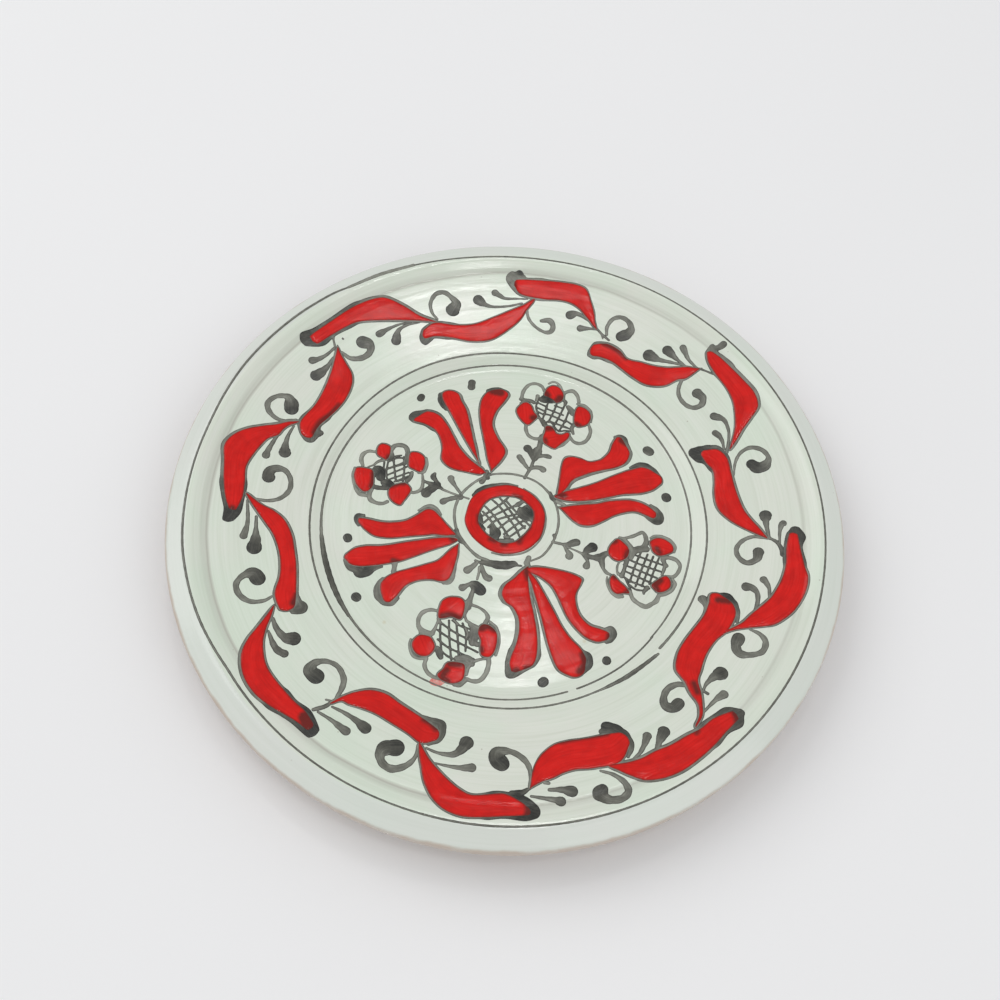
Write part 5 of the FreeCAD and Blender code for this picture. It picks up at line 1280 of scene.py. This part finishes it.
                 ([(-31, 21, 0.4), (-30.4, 18.5, 0.5), (-31, 15.3, 0.5), (-33, 14.5, 0.4)], 0.3),
                 ([(-31.5, 14, 0.4), (-31, 11.5, 0.5), (-31, 9, 0.6), (-32, 7.3, 0.6), (-33.8, 6.5, 0.6),
                   (-35, 6.8, 0.4)], 0.4),
                 ([(-35.3, 14.5, 0.6), (-35.5, 12.5, 0.7), (-36.5, 11, 0.8)], 0.6),
                 ([(-48.3, 6, 0.6), (-48.9, 4, 0.7), (-48.3, 2, 0.8), (-46, 0.9, 0.65),
                   (-43.8, 0.9, 0.65), (-42.3, 1.8, 0.6)], 0.4),
                 ([(-55.7, 14, 0.4), (-56, 11, 0.4), (-54.5, 6.5, 0.5), (-52.5, 3.9, 0.7),
                   (-50, 3.4, 0.7)], 0.35),
                 ([(-49.5, 21.3, 0.5), (-51.8, 21.3, 0.6), (-53.6, 19.8, 0.75), (-53.9, 17.5, 0.75),
                   (-53, 15.3, 0.6)], 0.35),
                 ([(-51, 14.9, 0.3), (-49.3, 15.8, 0.4), (-48.3, 17, 0.5), (-47.3, 17.8, 0.6),
                   (-45.8, 18.3, 0.5)], 0.5)],
     "blots": [([(-47.8, 14.2, 1.4), (-46.8, 13.3, 1.9), (-46, 11.3, 1.4)], 0.98),
               ([(-44.7, 9.3, 1), (-43, 8.8, 1.6), (-41.3, 8, 1.1)], 0.98),
               ([(-48.3, 7.5, 0.7), (-46.8, 7, 0.8), (-45, 7, 0.8), (-43.5, 7.2, 0.8)], 0.75)],
     "net": [[(-44.3, 18.5), (-44.3, 13.5), (-43.5, 10)], [(-45.6, 17.5), (-45.4, 12)],
             [(-39, 20.5), (-38.2, 15.5), (-38, 10.5)], [(-45.7, 14), (-42, 16), (-38, 17.7)],
             [(-42.5, 19), (-41.5, 14.5), (-40.5, 10.5)], [(-43.5, 21), (-42.3, 18)],
             [(-42.5, 20.2), (-40, 21)], [(-44, 12.3), (-40, 14.8), (-36.8, 17)],
             [(-43.7, 10.3), (-40, 12.3), (-36.5, 14.3)], [(-43.5, 15.3), (-40.5, 17), (-38, 18.6)],
             [(-44, 18), (-41, 19.8), (-38, 19.8)], [(-40, 10.5), (-36.5, 12.8)],
             [(-41, 10), (-38.5, 11), (-36.3, 12.2), (-35.6, 14.3)]],
     "stem": [([(-30.8, 11.5, 0.6), (-29, 11, 0.6), (-27.5, 10.5, 1), (-25.5, 10, 0.9), (-24, 9.3, 0.5)],
               0.9), ([(-26.5, 9.7, 1.2), (-28.5, 8, 1.5), (-29.3, 6.8, 1.5)], (0.9, 0.7)),
              ([(-25.5, 10.8, 0.9), (-26.7, 12.5, 0.7), (-27.6, 13.7, 1), (-27.2, 15, 0.5)],
               (0.95, 0.55)),
              ([(-23.8, 9, 0.45), (-20, 7.8, 0.4), (-17, 7.1, 0.35), (-14.2, 6.4, 0.4)], 0.35),
              ([(-17.5, 8.5, 0.5), (-19.5, 11, 0.6), (-21, 13, 1), (-21.3, 13.8, 1.1)], 0.5),
              ([(-17, 6.5, 0.8), (-19.5, 6, 0.8), (-21.8, 5, 0.9), (-23, 4.2, 1.1)], 0.6),
              ([(-16.9, 8.3, 0.5), (-17.2, 6.5, 0.7)], 0.8)]},
]


def net_strokes(lines, width, ink):
    """The crossed lines of a flower's heart, each a thin even stroke."""
    return [([(x, y, width) for x, y in line], ink) for line in lines]


def flowers():
    """Red petals, then the outlines, blots and stem, then the netting of the heart."""
    for k, flower in enumerate(FLOWERS, 1):
        film = Film(*extent(flower["red"]), PETAL_CELL)
        for outline in flower["red"]:
            closed_red(film, outline)
        for shade in flower["shade"]:
            film.darken(shade)
        film_piece(f"flower_{k}_petals", film, "red", [f"flower_petals_{k}"])
        node = f"flower_linework_{k}"
        halos = []
        for outline in flower["red"]:
            ring = smooth(np.array(outline, float), 0.5, closed=True)
            halos.append(([(x, y, 0.42) for x, y in np.vstack([ring, ring[:1]])[::2]], 0.5))
        drawn = halos + flower["outline"] + flower["blots"] + flower["stem"]
        ink_piece(f"flower_{k}_strokes", drawn, [node], FLOWER_INK_CELL)
        ink_piece(f"flower_{k}_netting", net_strokes(flower["net"], 0.37, 0.68), [node], NET_CELL)


WIPED = [
    (-13.8, -60.5), (-14.6, -62), (-16.5, -63.4), (-18.9, -62.9), (-19.2, -61.2), (-17.6, -59.8),
    (-15.3, -59.6),
]


def wiped_patch():
    """The third flower's lowest petal was smudged while the paint was wet."""
    film = Film(*extent([WIPED]), PETAL_CELL)
    closed_red(film, WIPED)
    verts, faces, values, depth = film.mesh(0.01, 0.02, 0.5)
    new_piece("flower_3_smudge", verts, faces, pink_wash, ["flower_petals_3"])


flowers()
wiped_patch()

# ---------------------------------------------------------------- the medallion and the ring lines

RING_OUTER = [
    (-0.2, 13.5), (5.8, 12), (10.1, 8.8), (12.6, 4.9), (13.2, 0.6), (12.4, -5.1), (10.1, -9),
    (6.5, -11.9), (1.2, -13.5), (-3.5, -13.2), (-7.8, -11.2), (-12, -7.6), (-14.5, -3), (-14.5, 1),
    (-13.5, 6), (-11.3, 9.2), (-6.7, 12),
]
RING_INNER = [
    (-0.6, 9), (3, 8.8), (6.2, 7), (8.7, 4.2), (9, 0.6), (8, -3), (5.5, -6.5), (3, -8.7), (-1, -9.4),
    (-4.2, -8), (-7, -6.2), (-9.5, -3), (-9.9, 0.6), (-8.8, 4.2), (-6.7, 7), (-3.5, 8.5),
]
RING_SHADES = [
    [(8.4, 3.5, 0.6), (8.6, 1, 0.5)], [(8, -2.5, 0.6), (6.3, -5.6, 0.6), (5, -8.3, 0.9)],
    [(-0.5, -10, 0.7), (0.5, -9.9, 0.6)], [(-5, -8.5, 0.8), (-3.5, -9, 0.7)],
    [(-10, 0, 0.6), (-9.6, -2.5, 0.6)], [(1.5, 9.5, 0.5), (4, 9, 0.5)],
]
MEDALLION_STROKES = [
    ([(-12.5, 8, 0.7), (-10.7, 10.2, 0.9), (-8.2, 11.9, 0.8), (-5, 13.1, 0.6), (-1.5, 13.8, 0.5),
      (2.5, 13.5, 0.35)], (0.98, 0.5)),
    ([(4.8, 12.6, 0.35), (9, 10.1, 0.35), (12.2, 6.2, 0.3), (13.5, 1, 0.35), (12.9, -4.5, 0.35),
      (10.7, -9, 0.3), (6.5, -12.5, 0.35), (0.5, -14, 0.35), (-4, -13.6, 0.3)], 0.4),
    ([(4.3, 4.3, 0.9), (5.3, 2.5, 1.7), (7.3, 1.8, 1.5), (8.5, 0.7, 0.8)], 0.85),
    ([(8.2, 4.6, 0.9), (8.6, 2.5, 0.9)], 0.98),
    ([(6, 3.6, 1.3), (6.8, 2.8, 1.4)], 0.95),
    ([(5.5, 5, 0.6), (6.3, 5.7, 0.5), (7.6, 4.7, 0.6)], 0.8),
    ([(2.2, 5.3, 0.5), (3.5, 6.3, 0.8), (4.6, 7.3, 0.7)], 0.6),
    ([(-9.8, 0.3, 0.9), (-9.3, -1, 0.9), (-8.8, -2.3, 0.6)], 0.75),
    ([(-8.7, -4, 0.9), (-7.7, -4.8, 0.7)], 0.95),
    ([(-4.5, -4.3, 1.2), (-3.5, -6, 1.7), (-4, -7.3, 1.3)], 0.85),
    ([(-2.8, -7.8, 0.6), (-3.6, -8, 0.7)], 0.95),
    ([(-1.5, -8.6, 0.7), (0.5, -8.5, 0.8), (2.5, -8, 0.7)], 0.65),
    ([(0, -7, 0.6), (1.2, -7, 0.6)], 0.55),
]
MEDALLION_NET = [
    [(-8.5, 0.3), (-5, 3.3), (-2, 6.3), (-0.3, 8.7)],
    [(-8.5, -3), (-5.3, 0.3), (0.8, 4.6), (3, 6)],
    [(-6.2, -4), (-3.5, -0.8), (3, 2.2), (5, 3)],
    [(-3, -4.6), (0.8, -0.5), (5.3, 2)],
    [(-0.5, -6), (2.3, -3), (5.1, -0.5), (8.3, 0.6)],
    [(1.3, -7), (3.6, -4.8), (6.5, -2)],
    [(-8.7, 1.9), (-6, -0.8), (-3, -4.6)],
    [(-8, 4), (-4.9, 1), (-1, -3.7), (1, -6.6)],
    [(-6.3, 7.3), (-3, 4.5), (0.8, 0), (3.5, -3.5), (4.9, -6.2)],
    [(-3.7, 8.4), (-0.6, 5), (3, 0.6), (6.5, -2.9)],
    [(-1.3, 7.4), (1.5, 4.5), (5.5, 0.6), (8, -1.6)],
]
CIRCLE_STROKES = [
    ([(-8.8, -15.2, 0.4), (-11.5, -13.3, 0.5), (-14.6, -10, 0.55), (-16.8, -6.5, 0.5), (-18.1, -2.5, 0.5),
      (-18.5, 1.5, 0.5), (-17.9, 5.2, 0.5), (-16.3, 8.9, 0.5), (-13.2, 12.8, 0.45), (-9.6, 15.7, 0.5),
      (-6.3, 17.3, 0.4), (0, 18.1, 0.42), (6.5, 17, 0.4), (10.8, 14.8, 0.4), (14.2, 11.5, 0.5),
      (16.2, 8.5, 0.42), (17.6, 4.2, 0.4), (18, -0.1, 0.45), (17.3, -4.8, 0.4), (15.5, -9.4, 0.42),
      (13, -13, 0.4), (9.2, -15.3, 0.35)], 0.42),
    ([(-10.6, -14.3, 0.45), (-8, -15.8, 0.6), (-5, -16.5, 0.45)], 0.42),
    ([(-9.2, -17.2, 0.5), (-7.5, -17.7, 0.5)], 0.5),
    ([(-7, -17.6, 0.75), (-4, -17.6, 1.15), (-1, -17.9, 1.4), (2, -17.5, 1.4), (3.9, -16.9, 1),
      (5.3, -17.3, 0.4)], 0.85),
    ([(-8.3, 17, 0.9), (-9, 15.8, 0.9), (-8.3, 15.5, 0.7)], 0.75),
    ([(14.2, 12.2, 0.5), (15, 10.3, 0.8), (16.5, 8.8, 0.5)], 0.85),
    ([(-17, -6.5, 0.8), (-16.8, -8, 0.7), (-15.5, -10, 0.8), (-13.8, -11, 0.6)], 0.75),
    ([(16.8, -4.4, 0.6), (17.1, -5.3, 0.5)], 0.6),
]
# Place and thickness of the turned lines, as (angle in degrees, radius, half width). The lip line
# closes on itself, and the others stop where the brush was lifted.
LIP_LINE = [
    (90, 107.1, 0.33), (60, 107.6, 0.3), (35, 107.8, 0.33), (10, 107.8, 0.3), (-10, 107.7, 0.33),
    (-30, 107.8, 0.33), (-60, 107.8, 0.3), (-90, 107.7, 0.33), (-110, 107.2, 0.3), (-130, 106.7, 0.33),
    (-140, 106.6, 0.38), (-150, 107.9, 0.4), (-165, 108.8, 0.36), (180, 108.3, 0.32), (170, 108, 0.38),
    (155, 109.2, 0.35), (140, 109.3, 0.38), (132, 109, 0.35), (128, 108.2, 0.35), (116, 107.9, 0.33),
    (102, 107.3, 0.33),
]
OUTER_WELL = [
    (-38.4, 69.2, 0.45), (-20, 69.3, 0.3), (0, 69.4, 0.35), (30, 69.2, 0.3), (60, 69.1, 0.33),
    (90, 68.4, 0.3), (120, 68.8, 0.35), (150, 68.1, 0.3), (180, 67.9, 0.35), (210, 68.2, 0.35),
    (240, 69, 0.3), (270, 69.1, 0.33), (300, 69.2, 0.35), (305, 69.4, 0.55), (312, 69.5, 0.6),
    (320, 70.2, 0.45),
]
INNER_WELL = [
    (-37, 64.5, 0.28), (-15, 64.3, 0.35), (20, 64.4, 0.3), (55, 64.5, 0.35), (90, 64.4, 0.3),
    (130, 64.3, 0.33), (165, 64.2, 0.35), (185, 64.3, 0.4), (198, 64.2, 0.65), (215, 64.3, 0.6),
    (221, 64.4, 0.45), (240, 64.7, 0.35), (270, 65.7, 0.33), (292.5, 65.6, 0.36),
]
INNER_REST = [(295.5, 65.6, 0.36), (310, 65.4, 0.33), (323.5, 64.7, 0.3)]
LIP_BAND = [(129, 108.4, 0.5), (122, 108.3, 0.68), (115, 108, 0.55)]
OUTER_WELL_DARK = [(303, 69.3, 0.5), (310, 69.7, 0.65), (319, 70, 0.5)]
INNER_WELL_DARK = [
    (193, 64.2, 0.6), (200, 64.1, 0.85), (208, 64.2, 0.9), (215, 64.4, 0.8), (221, 64.6, 0.5),
]


def polar(places):
    """Points (x, y, half width) from (angle in degrees, radius, half width)."""
    out = []
    for angle, radius, half in places:
        a = math.radians(angle)
        out.append((radius * math.cos(a), radius * math.sin(a), half))
    return out


def around(places):
    """A line drawn round the turning plate: even spacing every 4 degrees from the given places."""
    table = sorted((angle % 360, radius, half) for angle, radius, half in places)
    angles = [t[0] for t in table]
    even = np.arange(0, 360, 4)
    radii = np.interp(even, angles, [t[1] for t in table], period=360)
    halves = np.interp(even, angles, [t[2] for t in table], period=360)
    return polar(zip(even, radii, halves))


def spread(places):
    """The same for an open line, from its first angle up to its last."""
    angles = [p[0] for p in places]
    even = np.linspace(angles[0], angles[-1], 88)
    radii = np.interp(even, angles, [p[1] for p in places])
    halves = np.interp(even, angles, [p[2] for p in places])
    return polar(zip(even, radii, halves))


def medallion():
    """The red ring with its dark hatching, and the circle drawn round it."""
    film = Film(*extent([RING_OUTER]), RED_CELL)
    outer = smooth(np.array(RING_OUTER, float), 0.5, closed=True)
    inner = smooth(np.array(RING_INNER, float), 0.5, closed=True)
    middle = np.vstack([outer[::8] * 0.84, outer[:1] * 0.84])
    film.add_area(outer, middle)
    hole = Film(*extent([RING_OUTER]), RED_CELL)
    hole.add_area(inner, middle)
    film.d = np.maximum(film.d, -hole.d)
    for shade in RING_SHADES:
        film.darken(shade)
    film_piece("medallion_red", film, "red", ["medallion_ring"])
    halo = [(x, y, 0.4) for x, y in np.vstack([inner, inner[:1]])[::2]]
    ink_piece("medallion_strokes", [(halo, 0.6)] + MEDALLION_STROKES, ["medallion_lattice"])
    netting = net_strokes(MEDALLION_NET, 0.39, 0.6)
    ink_piece("medallion_netting", netting, ["medallion_lattice"], NET_CELL)
    ink_piece("circle_ink", CIRCLE_STROKES, ["centre_circle"])


def ring_lines():
    """The line inside the lip and the two lines round the well, with their heavier stretches."""
    film = Film(*extent([polar(LIP_LINE)]), PETAL_CELL)
    film.add_stroke(around(LIP_LINE), 0.5, closed=True)
    film.add_stroke(polar(LIP_BAND), 0.33)
    film_piece("lip_line_ink", film, "ink", ["lip_line"])
    outer = [(spread(OUTER_WELL), 0.5), (polar(OUTER_WELL_DARK), 0.85)]
    ink_piece("well_outer_ink", outer, ["well_outer_line"], PETAL_CELL)
    inner = [(spread(INNER_WELL), 0.45), (spread(INNER_REST), 0.5), (polar(INNER_WELL_DARK), 0.9)]
    ink_piece("well_inner_ink", inner, ["well_inner_line"], PETAL_CELL)


medallion()
ring_lines()


# ---------------------------------------------------------------- camera, light and floor


# Fitted to the plate's painted rings in the photograph. The rings don't settle how far away the camera
# was: a distance of 3.4 plate radii is a choice, and the heights in the profiles follow from it.
CAMERA_PLACE = (0, -0.17908, 0.35673)  # metres
CAMERA_TURN = (28.116, -2.448, 5.543)  # degrees about X, Y and Z
LENS = 40.33  # millimetres, on a sensor this wide
SENSOR_WIDTH = 36

# Lamps as (name, place, width, depth, watts), all turned to the plate's middle; metres.
LAMPS = [
    ("overhead", (0.12, -0.17, 1.2), 0.12, 0.08, 0.5),
    ("window", (0.04, 0.41, 1.25), 0.10, 0.07, 0.42),
    ("fill", (-1.3, 0.6, 1.5), 1.5, 1.5, 11),
    ("side", (1.3, -1.0, 1.5), 1.5, 1.5, 6),
]
ROOM_COLOUR = (0.98, 0.985, 1.0, 1)
ROOM_LIGHT = 0.64
FLOOR_HALF = 30.0  # metres from the middle to the floor's edge


def camera():
    """Looks down at the plate from the near side, turned a little about its own line of sight."""
    data = bpy.data.cameras.new("camera")
    data.sensor_width = SENSOR_WIDTH
    data.lens = LENS
    eye = bpy.data.objects.new("camera", data)
    turn = Euler([math.radians(angle) for angle in CAMERA_TURN]).to_matrix().to_4x4()
    eye.matrix_world = Matrix.Translation(CAMERA_PLACE) @ turn
    bpy.context.scene.collection.objects.link(eye)
    bpy.context.scene.camera = eye


def lamp(name, place, width, depth, power):
    """A soft rectangular lamp turned to the plate's middle."""
    data = bpy.data.lights.new(name, "AREA")
    data.shape = "RECTANGLE"
    data.size = width
    data.size_y = depth
    data.energy = power
    lit = bpy.data.objects.new(name, data)
    lit.location = place
    way = -Vector(place)
    lit.rotation_euler = way.to_track_quat("-Z", "Y").to_euler()
    bpy.context.scene.collection.objects.link(lit)


def studio():
    """Pale floor, even light from all round, two small lamps for highlights and two broad ones."""
    mesh = bpy.data.meshes.new("floor")
    turns = ((-1, -1), (1, -1), (1, 1), (-1, 1))
    corners = [(x * FLOOR_HALF, y * FLOOR_HALF, 0) for x, y in turns]
    mesh.from_pydata(corners, [], [(0, 1, 2, 3)])
    mesh.materials.append(floor_material())
    floor = bpy.data.objects.new("floor", mesh)
    bpy.context.scene.collection.objects.link(floor)
    world = bpy.data.worlds.new("soft_room")
    world.use_nodes = True
    background = world.node_tree.nodes["Background"]
    background.inputs["Color"].default_value = ROOM_COLOUR
    background.inputs["Strength"].default_value = ROOM_LIGHT
    bpy.context.scene.world = world
    bpy.context.scene.view_settings.view_transform = "Standard"
    for settings in LAMPS:
        lamp(*settings)


camera()
studio()
